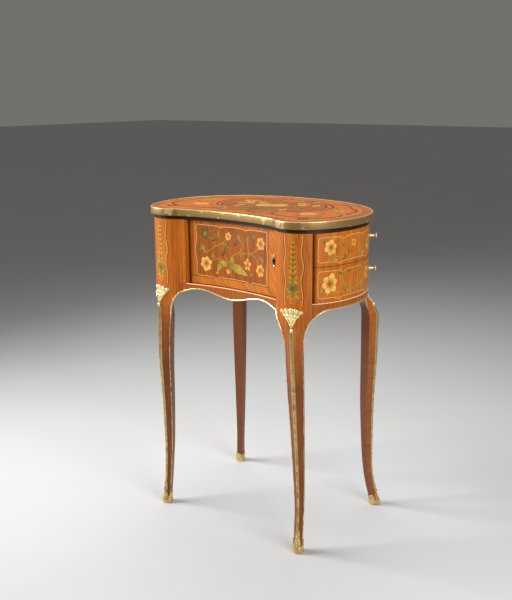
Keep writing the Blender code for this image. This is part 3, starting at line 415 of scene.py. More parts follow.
def bandingMaterial(name, light, dark):
    # cross-banding: short lengths of veneer with the grain across the band
    material, tree, shader = startMaterial(name)
    spot = addNode(tree, "ShaderNodeTexCoord").outputs
    run, across, _ = split(tree, spot["UV"])
    drift = noise(tree, spot["Object"], bandingDesign["swayScale"], 1.0)
    sway = ranged(tree, drift, 0.3, 0.7, -bandingDesign["sway"], bandingDesign["sway"])
    count = maths(tree, "ADD", maths(tree, "DIVIDE", run, bandingDesign["segment"]), sway)
    whole = maths(tree, "FLOOR", count)
    tone = addNode(tree, "ShaderNodeTexWhiteNoise", {"W": whole}, noise_dimensions="1D").outputs[0]
    joint = ranged(tree, apart(tree, maths(tree, "FRACT", count), 0.5), *bandingDesign["joint"])
    along = addNode(tree, "ShaderNodeCombineXYZ", {
        0: maths(tree, "MULTIPLY", run, bandingDesign["run"]),
        1: maths(tree, "MULTIPLY", across, bandingDesign["across"]), 2: whole}).outputs[0]
    grain = addGrain(tree, along, spot["Object"], light, dark, 0.45, 0.2)
    darker = ranged(tree, tone, 0.0, 1.0, 0.0, bandingDesign["tone"])
    toned = mixColour(tree, darker, grain["Color"], (*dark, 1))
    line = ranged(tree, apart(tree, across, bandingDesign["lineAt"]), *bandingDesign["line"])
    seamed = mixColour(tree, maths(tree, "MAXIMUM", joint, line), toned, bandingDesign["seam"])
    polishWood(tree, shader, seamed, grain["Height"])
    return material


def legMaterial(name, light, dark, scale):
    # leg veneer: UV x runs -1..1 over the two outer faces, y is the height
    material, tree, shader = startMaterial(name)
    spot = addNode(tree, "ShaderNodeTexCoord").outputs
    across, height, _ = split(tree, spot["UV"])
    leg = addGrain(tree, stretched(tree, spot["Object"], scale), spot["Object"], light, dark, 0.55, 0.35)
    post = addGrain(tree, stretched(tree, spot["Object"], uprightGrain), spot["Object"],
                    legFinish["light"], legFinish["dark"], 0.5, 0.25)
    wood = mixColour(tree, ranged(tree, height, *legFinish["fade"]), leg["Color"], post["Color"])
    # painted shade: the inner faces are mixed towards the dark veneer
    behind = ranged(tree, maths(tree, "ABSOLUTE", across), *legFinish["behind"])
    polishWood(tree, shader, mixColour(tree, behind, wood, (*dark, 1)), leg["Height"])
    return material


# veneers and woods: light and dark of the grain, and its scale along x, y and z
caseVeneer = woodMaterial("case_veneer", (0.64, 0.185, 0.015), (0.26, 0.056, 0.005), uprightGrain)
apronVeneer = woodMaterial("apron_veneer", (0.47, 0.123, 0.012), (0.2, 0.043, 0.005), uprightGrain)
doorFieldVeneer = woodMaterial("door_field_veneer", (0.45, 0.122, 0.011), (0.15, 0.031, 0.004), fieldGrain)
drawerFieldVeneer = woodMaterial("drawer_field_veneer", (0.68, 0.205, 0.018), (0.28, 0.07, 0.007), fieldGrain)
stileVeneer = woodMaterial("diagonal_veneer", (0.7, 0.22, 0.02), (0.32, 0.08, 0.008), (16.0, 210.0, 1.0),
                           (0.0, 0.0, radians(-50)), "UV", streaks=0.35)
topVeneer = woodMaterial("top_veneer", (0.74, 0.21, 0.017), (0.42, 0.092, 0.008), topGrain,
                         streaks=0.4, patina=0.15, coat=0.06)
cartoucheVeneer = woodMaterial("cartouche_veneer", (0.54, 0.145, 0.013), (0.3, 0.068, 0.007), topGrain,
                               streaks=0.4, patina=0.3, coat=0.06)
topBanding = bandingMaterial("cross_banding", (0.72, 0.2, 0.018), (0.31, 0.066, 0.008))
strapWood = woodMaterial("amaranth_strap", (0.19, 0.042, 0.02), (0.085, 0.018, 0.01), (200.0, 200.0, 60.0),
                         streaks=0.6, coat=0.06)
# front legs: darker than the posts and the back legs, partly their own veneer and partly painted shade
frontLegVeneer = legMaterial("front_leg_veneer", (0.24, 0.067, 0.014), (0.12, 0.031, 0.007),
                             (200.0, 200.0, 11.0))
backLegVeneer = legMaterial("back_leg_veneer", (0.46, 0.15, 0.034), (0.12, 0.034, 0.01), (14.0, 14.0, 420.0))
# near-black painted shade: the shadow under the rim on the case top's edge, and the inside of the keyhole
paintedShadeWood = woodMaterial("painted_shade_wood", (0.03, 0.012, 0.005), (0.015, 0.006, 0.003), carcaseGrain,
                           coat=0.0)
oak = woodMaterial("oak_carcase", (0.4, 0.25, 0.12), (0.24, 0.14, 0.06), carcaseGrain, coat=0.0)
inlayWood = inlayMaterial("inlay_wood", True)
lineWood = inlayMaterial("inlay_line", False)
# metals: bright and tarnished colour, age, number of patches to the metre
gilt = brassMaterial("gilt_brass", (1.0, 0.77, 0.38), (0.45, 0.28, 0.09), 0.4, 120.0, metal=0.8)
chasedGilt = brassMaterial("chased_gilt", (1.0, 0.78, 0.38), (0.3, 0.17, 0.045), 0.12, 160.0,
                           relief=True, metal=0.55)
filletBrass = brassMaterial("fillet_brass", (1.0, 0.76, 0.36), (0.24, 0.15, 0.045), 0.95, 90.0,
                            (kneeZ - 0.03, flareTop - 0.02, 0.3), metal=0.8)
shoeBrass = brassMaterial("shoe_brass", (0.78, 0.54, 0.22), (0.16, 0.085, 0.028), 0.5, 130.0,
                          relief=True, metal=0.75)
stripBrass = brassMaterial("strip_brass", (0.7, 0.48, 0.19), (0.16, 0.095, 0.03), 0.55, 90.0,
                           relief=True, metal=0.8)
# the top edge is brighter: polish worn into it, and a painted highlight along it
rimBrass = brassMaterial("rim_brass", (0.76, 0.54, 0.245), (0.25, 0.154, 0.05), 4.6, 34.0,
                         (tableHeight - 0.0035, tableHeight - 0.0008, 0.05), metal=0.5)
# near-black painted shade for the keyhole's wall and the plate's sunk middle round it
keyholeShade = brassMaterial("keyhole_painted_shade", (0.05, 0.036, 0.022), (0.016, 0.011, 0.007), 0.6, 90.0, metal=0.6)
lockSteel = brassMaterial("lock_steel", (0.42, 0.41, 0.4), (0.15, 0.13, 0.12), 0.5, 70.0)
print("materials made:", len(bpy.data.materials))


# mesh helpers
def addPiece(mesh, name, body, slot, replaced=(), sharp=35.0):
    mesh.shade_smooth()
    mesh.set_sharp_from_angle(angle=radians(sharp))
    mesh.name = name
    thing = bpy.data.objects.new(name, mesh)
    scene.collection.objects.link(thing)
    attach(thing, body)
    if replaced:
        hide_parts(*replaced)
    return thing


def outwards(mesh, merge=0.0):
    bm = bmesh.new()
    bm.from_mesh(mesh)
    if merge:
        bmesh.ops.remove_doubles(bm, verts=bm.verts, dist=merge)
    bmesh.ops.recalc_face_normals(bm, faces=bm.faces)
    bm.to_mesh(mesh)
    bm.free()
    return mesh


def meshFrom(name, points, faces, material, uvs=None):
    mesh = bpy.data.meshes.new(name)
    mesh.from_pydata(points, [], faces)
    mesh.materials.append(material)
    if uvs:
        layer = mesh.uv_layers.new(name="UVMap")
        for polygon, corners in zip(mesh.polygons, uvs):
            for loop, spot in zip(polygon.loop_indices, corners):
                layer.data[loop].uv = spot
    return mesh


def setAttribute(mesh, name, kind, values):
    attribute = mesh.attributes.new(name, kind, "POINT")
    if kind == "FLOAT_COLOR":
        attribute.data.foreach_set("color", [part for tint in values for part in (*tint, 1.0)])
    else:
        attribute.data.foreach_set("value", values)


def carrierMesh(points, edges, **values):
    # bare points and edges for a node tree to grow on
    mesh = bpy.data.meshes.new("carrier")
    mesh.from_pydata(points, edges, [])
    for name, numbers in values.items():
        setAttribute(mesh, name, {"tint": "FLOAT_COLOR", "kind": "INT"}.get(name, "FLOAT"), numbers)
    return mesh


def quads(rows, columns, closed):
    # faces over a grid of points; closed joins the last column to the first
    made = []
    for i in range(rows - 1):
        for j in range(columns if closed else columns - 1):
            k = (j + 1) % columns
            made.append((i * columns + j, i * columns + k, (i + 1) * columns + k, (i + 1) * columns + j))
    return made


def gridSolid(outer, inner, closed=False):
    # closed shell between two grids of points
    rows, columns = len(outer), len(outer[0])
    points = [point for grid in (outer, inner) for row in grid for point in row]
    shift = rows * columns
    faces = []
    for a, b, c, d in quads(rows, columns, closed):
        faces += [(a, b, c, d), (d + shift, c + shift, b + shift, a + shift)]
    rims = [(i * columns + j, i * columns + (j + 1) % columns)
            for i in (0, rows - 1) for j in range(columns if closed else columns - 1)]
    if not closed:
        rims += [(i * columns + j, (i + 1) * columns + j) for j in (0, columns - 1) for i in range(rows - 1)]
    return points, faces + [(a, b, b + shift, a + shift) for a, b in rims]


def dressNode(node, material, name, body, slot):
    # a solid's own mesh, merged and smoothed, in another material
    mesh = nodes[node].data.copy()
    mesh.materials.clear()
    mesh.materials.append(material)
    outwards(mesh, merge=0.00002)
    return addPiece(mesh, name, body, slot, (node,), sharp=12.0)


# geometry nodes
def namedValue(tree, name, kind="FLOAT"):
    return addNode(tree, "GeometryNodeInputNamedAttribute", {"Name": name}, data_type=kind).outputs[0]


def endTree(tree, geometry, material, output):
    solid = addNode(tree, "GeometryNodeRealizeInstances", {"Geometry": geometry}).outputs[0]
    painted = addNode(tree, "GeometryNodeSetMaterial", {"Geometry": solid, "Material": material})
    tree.links.new(painted.outputs[0], output)
    return tree


def makeSweepTree(name, keepLevel):
    # paths with a girth at each point become bars of a rounded section
    tree, take, give = startTree(name, "GeometryNodeTree", (
        ("Geometry", "Geometry", None), ("Section Width", "Float", 1.0), ("Section Height", "Float", 0.1),
        ("Corner", "Float", 0.02), ("Corner Steps", "Int", 2), ("Material", "Material", None)),
        (("Geometry", "Geometry"),))
    curve = addNode(tree, "GeometryNodeMeshToCurve", {"Mesh": take["Geometry"]}).outputs[0]
    if keepLevel:
        curve = addNode(tree, "GeometryNodeSetCurveNormal", {"Curve": curve}, mode="Z_UP").outputs[0]
    section = addNode(tree, "GeometryNodeCurvePrimitiveQuadrilateral",
                      {"Width": take["Section Width"], "Height": take["Section Height"]}).outputs[0]
    eased = addNode(tree, "GeometryNodeFilletCurve", {"Curve": section, "Count": take["Corner Steps"],
                                                      "Radius": take["Corner"], "Limit Radius": True},
                    mode="POLY").outputs[0]
    bars = addNode(tree, "GeometryNodeCurveToMesh", {"Curve": curve, "Profile Curve": eased,
                                                     "Scale": namedValue(tree, "girth"), "Fill Caps": True})
    return endTree(tree, bars.outputs[0], take["Material"], give["Geometry"])


def makeInlayTree():
    # points with a kind, turn, length and width become cut marquetry pieces
    tree, take, give = startTree("inlayPieces", "GeometryNodeTree", (
        ("Geometry", "Geometry", None), ("Shapes", "Collection", None), ("Material", "Material", None)),
        (("Geometry", "Geometry"),))
    shapes = addNode(tree, "GeometryNodeCollectionInfo", {
        "Collection": take["Shapes"], "Separate Children": True, "Reset Children": True}).outputs[0]
    turn = addNode(tree, "ShaderNodeCombineXYZ", {2: namedValue(tree, "turn")}).outputs[0]
    size = addNode(tree, "ShaderNodeCombineXYZ", {0: namedValue(tree, "long"), 1: namedValue(tree, "wide"),
                                                  2: 1.0}).outputs[0]
    placed = addNode(tree, "GeometryNodeInstanceOnPoints", {
        "Points": take["Geometry"], "Instance": shapes, "Pick Instance": True,
        "Instance Index": namedValue(tree, "kind", "INT"), "Scale": size,
        "Rotation": addNode(tree, "FunctionNodeEulerToRotation", {0: turn}).outputs[0]}).outputs[0]
    return endTree(tree, placed, take["Material"], give["Geometry"])


sweepTree = makeSweepTree("levelBars", True)
roundTree = makeSweepTree("roundBars", False)
inlayTree = makeInlayTree()


def growMesh(carrier, tree, values):
    thing = bpy.data.objects.new("carrier", carrier)
    scene.collection.objects.link(thing)
    grower = thing.modifiers.new("grow", "NODES")
    grower.node_group = tree
    for item in tree.interface.items_tree:
        if item.item_type == "SOCKET" and item.in_out == "INPUT" and item.name in values:
            grower[item.identifier] = values[item.name]
    bpy.context.view_layer.update()
    graph = bpy.context.evaluated_depsgraph_get()
    mesh = bpy.data.meshes.new_from_object(thing.evaluated_get(graph), preserve_all_data_layers=True,
                                           depsgraph=graph)
    thing.modifiers.remove(grower)
    bpy.data.objects.remove(thing)
    return mesh


def growBars(carrier, material, section, cornerSteps, tree=sweepTree):
    # section: width, height and corner radius, times the girth at each point
    width, height, corner = section
    return growMesh(carrier, tree, {"Section Width": width, "Section Height": height, "Corner": corner,
                                    "Corner Steps": cornerSteps, "Material": material})


def halfWidthOf(kind, t):
    # half width of a cut piece along its length, as a share of its width
    if kind == "petal":
        return 0.5 * sin(pi * min(t ** 0.75, 1.0) ** 1.15) ** 0.7 if t < 1 else 0.0
    if kind == "leaf":
        return 0.5 * sin(pi * t ** 0.8) * (1 - 0.15 * cos(6 * pi * t))
    if kind == "blade":
        return 0.5 * sin(pi * t) ** 0.8
    if kind == "husk":
        return 0.5 * (t ** 0.6) * (1 - max(t - 0.72, 0.0) / 0.28) ** 0.5
    return sqrt(max(0.25 - (t - 0.5) ** 2, 0.0))


# cut pieces: unit outlines, domed a little along the middle
shapeKinds = ("petal", "leaf", "blade", "husk", "disc")
shapeDesign = {"stations": 10, "dome": 0.00003, "thickness": 0.00035}


def makeShapes():
    shapes = bpy.data.collections.new("inlay_shapes")
    stations = spread(0.0, 1.0, shapeDesign["stations"])
    for index, kind in enumerate(shapeKinds):
        top = [[(t, side * halfWidthOf(kind, t), shapeDesign["dome"] * (1 - abs(side)))
                for side in (-1, 0, 1)] for t in stations]
        low = [[(x, y, -shapeDesign["thickness"]) for x, y, _ in row] for row in top]
        points, faces = gridSolid(top, low)
        uvs = [[(stations[k // 3 % len(stations)], k % 3 / 2) for k in face] for face in faces]
        mesh = meshFrom(kind, points, faces, inlayWood, uvs)
        shapes.objects.link(bpy.data.objects.new(f"shape{index}_{kind}", mesh))
    return shapes


inlayShapes = makeShapes()

# tints of the marquetry woods
tints = {
    "cream": (0.84, 0.46, 0.1), "honey": (0.8, 0.36, 0.055), "amber": (0.6, 0.2, 0.025),
    "rust": (0.32, 0.09, 0.015), "sage": (0.27, 0.17, 0.03), "olive": (0.34, 0.21, 0.03),
    "lime": (0.46, 0.3, 0.038), "straw": (0.55, 0.28, 0.04), "moss": (0.15, 0.105, 0.02),
    "string": (0.74, 0.4, 0.11), "pale": (0.95, 0.62, 0.32), "dark": (0.06, 0.018, 0.007),
    "strap": (0.16, 0.036, 0.014),
}
# how far each layer of the inlay stands above its ground
lifts = {"stem": 0.00009, "line": 0.0001, "under": 0.0001, "leaf": 0.00012, "string": 0.00014,
         "blade": 0.00013, "seam": 0.00015, "petal": 0.00016, "broad": 0.00018, "centre": 0.0002,
         "ring": 0.0003, "petalStep": 0.000004, "strapStep": 0.00003}

# flowers: rings of petals as count, start, length, width, tint, lift and turn, then discs as size, tint
# and lift. Lengths are shares of the flower's size; None takes the tint given, or any turn
flowerKinds = {
    "daisy": {"rings": ((5, 0.05, 0.45, 0.38, None, 0.00016, None),),
              "discs": ((0.22, "rust", 0.00021), (0.11, "honey", 0.00023))},
    "rose": {"rings": ((7, 0.16, 0.36, 0.42, "honey", 0.00014, 10), (6, 0.08, 0.31, 0.36, None, 0.00018, 35),
                       (5, 0.02, 0.22, 0.26, "honey", 0.00022, 5), (3, 0.0, 0.14, 0.17, None, 0.00026, 40)),
             "discs": ((0.09, "amber", 0.00029),)},
    "anemone": {"rings": ((6, 0.08, 0.42, 0.42, None, 0.00016, 15),
                          (6, 0.02, 0.22, 0.15, "amber", 0.0002, 45)),
                "discs": ((0.17, "rust", 0.00024),)},
    "carnation": {"rings": ((10, 0.12, 0.4, 0.2, None, 0.00014, 0),
                            (8, 0.05, 0.27, 0.15, "honey", 0.00019, 20),
                            (5, 0.0, 0.15, 0.1, "olive", 0.00023, 10)),
                  "discs": ()},
}


def closeSpaced(path, closed=False, gap=0.004):
    # extra points on long stretches, so that a path follows a curved face
    made = []
    ends = path[1:] + (path[:1] if closed else [])
    for here, there in zip(path, ends):
        steps = max(int(dist(here, there) / gap), 1)
        made += [mix(here, there, step / steps) for step in range(steps)]
    return made if closed else made + [path[-1]]


class Lines:
    # stringing, stems and straps, drawn flat and swept as thin bars
    flatness = 0.08

    def __init__(self):
        self.points, self.edges, self.girths, self.tints = [], [], [], []

    def add(self, path, width, tint, lift=lifts["line"], closed=False, taper=0.0):
        path = closeSpaced(path, closed)
        first = len(self.points)
        last = len(path) - 1
        for i, (u, v) in enumerate(path):
            girth = width * (1 - taper * abs(2 * i / last - 1) ** 2)
            self.points.append((u, v, lift - girth * self.flatness / 2))
            self.girths.append(girth)
            self.tints.append(tints[tint])
        self.edges += [(first + i, first + i + 1) for i in range(last)]
        if closed:
            self.edges.append((first + last, first))

    def grow(self, material):
        carrier = carrierMesh(self.points, self.edges, girth=self.girths, tint=self.tints)
        return growBars(carrier, material, (1.0, self.flatness, self.flatness / 4), 1)


class Spray:
    # flowers and leaves, laid out flat as points and grown as cut pieces
    def __init__(self, seed):
        self.draw = random.Random(seed)
        self.points, self.values, self.tints = [], {"kind": [], "turn": [], "long": [], "wide": []}, []

    def add(self, kind, u, v, turn, length, width, tint, lift=lifts["leaf"]):
        shade = self.draw.uniform(0.85, 1.12)
        self.points.append((u, v, lift))
        self.tints.append(tuple(part * shade for part in tints[tint]))
        for key, value in zip(self.values, (shapeKinds.index(kind), radians(turn), length, width)):
            self.values[key].append(value)

    def leaves(self, table, tint=None, rise=0.0, lift=lifts["leaf"]):
        # rows of u, v, turn, length and width in millimetres, and a tint where none is given
        for u, v, turn, length, width, *own in table:
            self.add("leaf", u / 1000, rise + v / 1000, turn, length / 1000, width / 1000,
                     tint or own[0], lift)

    def disc(self, u, v, size, tint, lift=lifts["centre"]):
        self.add("disc", u - size / 2, v, 0.0, size, size, tint, lift)

    def ring(self, u, v, count, start, length, width, tint, lift=lifts["petal"], turn=0.0, squash=1.0):
        for k in range(count):
            angle = turn + 360 * k / count + self.draw.uniform(-7, 7)
            way = radians(angle)
            grown = length * self.draw.uniform(0.92, 1.08)
            aim = degrees(atan2(sin(way) * squash, cos(way)))
            reach = hypot(cos(way), sin(way) * squash)
            self.add("petal", u + start * cos(way), v + start * sin(way) * squash, aim,
                     grown * reach, width, tint, lift + k * lifts["petalStep"])

    def flower(self, kind, u, v, size, tint="cream", squash=1.0):
        for count, start, length, width, own, lift, turn in flowerKinds[kind]["rings"]:
            if turn is None:
                turn = self.draw.uniform(0, 72)
            self.ring(u, v, count, size * start, size * length, size * width, own or tint, lift, turn, squash)
        for share, own, lift in flowerKinds[kind]["discs"]:
            self.disc(u, v, size * share, own, lift)

    def sprig(self, u, v, turn, length, tint):
        # a leaf at the tip and a pair beside the stalk
        way, back = radians(turn), -length * 0.15
        self.add("leaf", u, v, turn, length, length * 0.42, tint)
        for side in (-1, 1):
            self.add("leaf", u + back * cos(way), v + back * sin(way), turn + side * 48,
                     length * 0.8, length * 0.3, tint, lifts["under"])

    def shift(self, along):
        self.points = [(u + along, v, w) for u, v, w in self.points]

    def grow(self):
        carrier = carrierMesh(self.points, [], **self.values, tint=self.tints)
        return growMesh(carrier, inlayTree, {"Shapes": inlayShapes, "Material": inlayWood})


# surfaces: each turns a flat spot (u across, v along, w out) into a place on the table
def topSurface(u, v, w):
    return (u, v, veneerTop + w)


def doorSurface(u, v, w):
    turn = u / doorRadius
    return ((doorRadius - w) * sin(turn), hollowY + (doorRadius - w) * cos(turn), v)


def runTable(pointOf, angles):
    # length of a curve from its start to each angle
    points = [pointOf(angle) for angle in angles]
    return list(zip(accumulate(map(dist, points, points[1:]), initial=0.0), angles))


def angleAlong(table, run):
    k = min(max(bisect_right(table, (run, inf)), 1), len(table) - 1)
    (runLow, angleLow), (runHigh, angleHigh) = table[k - 1], table[k]
    return angleLow + (angleHigh - angleLow) * (run - runLow) / (runHigh - runLow)


sideTable = runTable(lambda angle: sidePoint(angle, overhang), spread(-130.0, 89.0, 440))
widestRun = next(run for run, angle in sideTable if angle >= 0)
backTable = runTable(lambda angle: sidePoint(90 - angle, overhang), spread(0.0, 60.0, 160))


def sideSurface(flip):
    # u is the run along the side from its widest point, forwards below 0
    def place(u, v, w):
        x, y = sidePoint(angleAlong(sideTable, u + widestRun), overhang - w)
        return flipped((x, y, v), flip)
    return place


def backSurface(u, v, w):
    # seen from behind: u runs to the left-hand end of the table
    x, y = sidePoint(90 - angleAlong(backTable, abs(u)), overhang - w)
    return (copysign(x, -u), y, v)


def wrapped(mesh, place, lift=0.0):
    for vertex in mesh.vertices:
        u, v, w = vertex.co
        vertex.co = place(u, v, w + lift)
    return outwards(mesh)


def veneerSheet(path, place, material, lift, step=0.006, thickness=0.0003, hole=()):
    # thin veneer cut to a flat outline and laid on a surface
    bm = bmesh.new()
    ring = [bm.verts.new((u, v, lift)) for u, v in path]
    if hole:
        inside = [bm.verts.new((u, v, lift)) for u, v in hole]
        edges = [bm.edges.new((loop[k - 1], loop[k])) for loop in (ring, inside) for k in range(len(loop))]
        bmesh.ops.triangle_fill(bm, edges=edges, normal=(0, 0, 1))
    else:
        bm.faces.new(ring)
    low, high = min(u for u, _ in path), max(u for u, _ in path)
    for k in range(1, int((high - low) / step) + 1):
        bmesh.ops.bisect_plane(bm, geom=bm.verts[:] + bm.edges[:] + bm.faces[:],
                               plane_co=(low + k * step, 0, 0), plane_no=(1, 0, 0))
    bmesh.ops.triangulate(bm, faces=bm.faces[:])
    made = bmesh.ops.extrude_face_region(bm, geom=bm.faces[:])["geom"]
    for vertex in (item for item in made if isinstance(item, bmesh.types.BMVert)):
        vertex.co.z -= thickness
    layer = bm.loops.layers.uv.new("UVMap")
    for face in bm.faces:
        for loop in face.loops:
            loop[layer].uv = loop.vert.co.xy
    mesh = bpy.data.meshes.new("sheet")
    bm.to_mesh(mesh)
    bm.free()
    mesh.materials.append(material)
    return wrapped(mesh, place)


frameDesign = {"dip": 0.0040, "sway": 0.0018, "ease": 0.006, "cuspWidth": 0.006, "topCusp": 0.36,
               "footCusp": 0.48, "footShare": 0.8}


def cuspedFrame(left, right, low, high, dip=frameDesign["dip"], sway=frameDesign["sway"]):
    # stringing frame: cusped along the top and foot, waving down the sides, eased corners
    middle, half = (left + right) / 2, (right - left) / 2
    ease = min(frameDesign["ease"], (high - low) / 8)

    def cusp(u, place):
        return dip * exp(-abs(abs(u - middle) / half - place) * half / frameDesign["cuspWidth"])

    def corner(u, v, signU, signV, flat):
        bend = [(u + signU * ease * (1 - sin(a)) * 0.9, v + signV * ease * (1 - cos(a)) * 0.9)
                for a in spread(0.15, pi / 2 - 0.15, 5)]
        return bend if flat else bend[::-1]
    top = [(u, high - cusp(u, frameDesign["topCusp"])) for u in spread(right - ease, left + ease, 61)]
    foot = [(u, low - frameDesign["footShare"] * cusp(u, frameDesign["footCusp"]))
            for u in spread(left + ease, right - ease, 61)]
    rise = spread(high - ease, low + ease, 31)
    waves = [sway * sin(3 * pi * k / 30) for k in range(31)]
    leftSide = [(left + wave, v) for wave, v in zip(waves, rise)]
    rightSide = [(right - wave, v) for wave, v in zip(waves, rise)][::-1]
    return (top + corner(left, high, 1, -1, True) + leftSide + corner(left, low, 1, 1, False) + foot
            + corner(right, low, -1, 1, True) + rightSide + corner(right, high, -1, -1, False))


def framedLines(border, design, stems, lift=lifts["leaf"]):
    # stringing round a field, with the stems inside it
    lines = Lines()
    lines.add(border, design["string"], "string", lifts["string"], closed=True)
    for path in stems:
        lines.add(path, design["stem"], "lime", lift)
    return lines


def addInlay(name, body, place, lines, spray, lift=0.0):
    addPiece(wrapped(lines.grow(lineWood), place, lift), name + "_stringing", body, "veneer")
    addPiece(wrapped(spray.grow(), place, lift), name + "_flowers", body, "veneer")


print("node trees and surfaces ready")


# top: field, cross-banded border, strapwork and flowers
topDesign = {"band": 0.0195, "strap": 0.0048, "rimGap": 0.0045, "ring": (-0.177, -0.1165),
             "ringRadius": 0.0092, "bridge": (0.017, 0.086), "stringGap": 0.0006, "string": 0.0011,
             "cartoucheLift": 0.00004, "taper": 0.25}
# straps of the left half: share of the strap's width, points in millimetres
topStrapPaths = (
    (1.0, ((-21, 114), (-19, 120), (-27, 125), (-45, 126), (-64, 119.5), (-83, 106.5), (-102, 93), (-120, 77),
           (-134, 55), (-139, 29.5), (-136, 3), (-125, -23), (-109, -41), (-90, -48), (-81, -42),
           (-85, -36))),
    (0.8, ((-16, 86), (-24, 86.5), (-38, 95), (-57, 98), (-79, 93), (-98, 80), (-115, 61), (-123, 37),
           (-124, 14), (-119, -8), (-106, -31), (-91, -43))),
    (0.85, ((-94, 97), (-98, 105), (-108, 110), (-121, 110), (-139, 104), (-158, 89), (-173, 70), (-188, 56),
            (-194, 62))),
    (0.9, ((-188, 58), (-196, 49), (-202, 44), (-210, 25), (-212, 7), (-213, -12), (-219, -14))),
    (0.95, ((-208, -34), (-213, -31), (-218, -46), (-216, -65), (-207, -83), (-192, -96), (-173, -104),
            (-147, -107), (-120, -106), (-98, -100), (-81, -91), (-73, -76), (-73, -62))),
    (0.8, ((-98, -100), (-79, -95), (-64, -95), (-49, -100), (-31, -100), (-20, -95), (-19, -89))),
)
topLink = ((-39, 124), (-40, 111), (-39, 98))
# green edging and stems of the left half: width, tint, lift, taper, points in millimetres
topStems = (
    (0.0042, "olive", lifts["line"], 0.8, (
        ((-106, 60), (-97, 73), (-80, 86), (-57, 91), (-40, 88), (-31, 82)),
        ((-116, 20), (-117, 38), (-111, 52)))),
    (0.0011, "sage", lifts["stem"], 0.0, (
        ((-4, -66), (-22, -40), (-34, -12), (-38, 20)), ((-3, -66), (-30, -46), (-58, -30)),
        ((-2, -66), (-16, -30), (-14, 0)), ((-6, -64), (-52, -20), (-76, 8)),
        ((-40, 24), (-60, 40), (-80, 52)), ((0, -66), (-8, -30), (-10, 4)))),
    (0.0012, "sage", lifts["stem"], 0.0, (
        ((-177, 8), (-172, -10), (-166, -26), (-156, -40)), ((-150, -66), (-160, -76), (-170, -84)),
        ((-172, -10), (-186, -10), (-192, -14)), ((-177, 30), (-172, 48), (-160, 62)))),
)
# flowers of the top in millimetres: place and size, and for sprigs place, turn and length
topDaisies = ((-98, 57, 21), (-79, 60, 19), (-74, 36, 22), (-51, 46, 19), (-34, 33, 20), (-84, 16, 20),
              (-64, 20, 21), (-64, -12, 20), (-58, -37, 14), (40, 71, 20), (52, 74, 19), (57, 52, 22),
              (86, 64, 20), (88, 54, 13), (64, -30, 21), (-92, 44, 14))
topRoses = ((-13.5, 7.5, 43), (15.5, 22.5, 45))
middleSprigs = ((-12, 42, 100, 17), (37, 4, 25, 21), (47, 8, 10, 18), (60, 34, 140, 16), (82, 8, 60, 15),
                (104, 26, 95, 17), (-85, -8, 215, 17), (-83, -27, 250, 15), (-6, -14, 280, 20),
                (-24, -10, 235, 19), (20, -6, 320, 18), (-45, -22, 200, 17), (30, 44, 50, 14),
                (10, -28, 285, 18), (-12, -34, 265, 18), (30, -24, 300, 17), (46, -8, 330, 16),
                (-30, 58, 110, 14), (70, 62, 75, 13), (-60, 66, 80, 13))
sideSprigs = ((-158, 66, 80, 15), (-190, -13, 200, 14), (-154, -12, 20, 14), (-168, -31, 240, 13),
              (-177, -64, 210, 17), (-140, -81, 260, 16), (-121, -49, 350, 16), (-186, -84, 225, 13),
              (-150, 44, 60, 12), (-196, 30, 130, 11))
# flowers at both sides: kind, place and size in millimetres, tint and squash
sideFlowers = (("carnation", 176, 18, 42, "lime", 0.62), ("rose", 145.5, -53.5, 38, "cream", 1.0))
sideTip = (-0.213, -0.014, 268, 0.017, 0.008)      # leaf at each end, in metres
fanDesign = {"turns": (238, 252, 265, 276, 289, 303), "centre": -0.012, "start": 0.02, "length": 0.062,
             "shorter": 0.004, "width": 0.006}
palmetteDesign = {"leaves": ((90, 30), (68, 25), (112, 25), (45, 18), (135, 18)), "foot": 0.110,
                  "bead": (0.0, 0.1235, 0.006, "rust")}
footAcanthus = ((-91, -49, -20, 24), (-73, -56, -52, 22), (-62, -70, -55, 24), (-52, -84, -60, 18))
cartoucheEdge = ((-18, 86), (-26, 87), (-38, 95), (-57, 98), (-79, 93), (-98, 80), (-115, 61), (-123, 37),
                 (-124, 14), (-119, -8), (-106, -31), (-91, -43), (-76, -54), (-64, -69), (-52, -85),
                 (-43, -97))


def makeTopPanel():
    outer = outline(topDesign["rimGap"])
    inner = outline(topDesign["rimGap"] + topDesign["band"])
    count = len(outer)
    points = [(x, y, z) for ring, z in ((outer, veneerTop), (inner, veneerTop), (outer, rimUnder))
              for x, y in ring]
    runs = list(accumulate(map(dist, outer, outer[1:] + outer[:1]), initial=0.0))
    faces, uvs = [], []
    for i in range(count):      # border
        j = (i + 1) % count
        faces.append((i, j, count + j, count + i))
        uvs.append([(runs[i], 0), (runs[i + 1], 0), (runs[i + 1], 1), (runs[i], 1)])
    for i in range(count):      # edge
        j = (i + 1) % count
        faces.append((j, i, 2 * count + i, 2 * count + j))
        uvs.append([(runs[i + 1], 0), (runs[i], 0), (runs[i], 0), (runs[i + 1], 0)])
    faces += [tuple(range(count, 2 * count)), tuple(range(3 * count - 1, 2 * count - 1, -1))]
    uvs += [inner, outer[::-1]]
    mesh = meshFrom("top", points, faces, topBanding, uvs)
    mesh.materials.append(topVeneer)
    mesh.materials.append(oak)
    mesh.polygons[2 * count].material_index = 1
    mesh.polygons[2 * count + 1].material_index = 2
    bm = bmesh.new()
    bm.from_mesh(mesh)
    bmesh.ops.triangulate(bm, faces=[face for face in bm.faces if len(face.verts) > 4])
    bm.to_mesh(mesh)
    bm.free()
    addPiece(mesh, "marquetry_top", "case", "veneer", ("top_panel",))


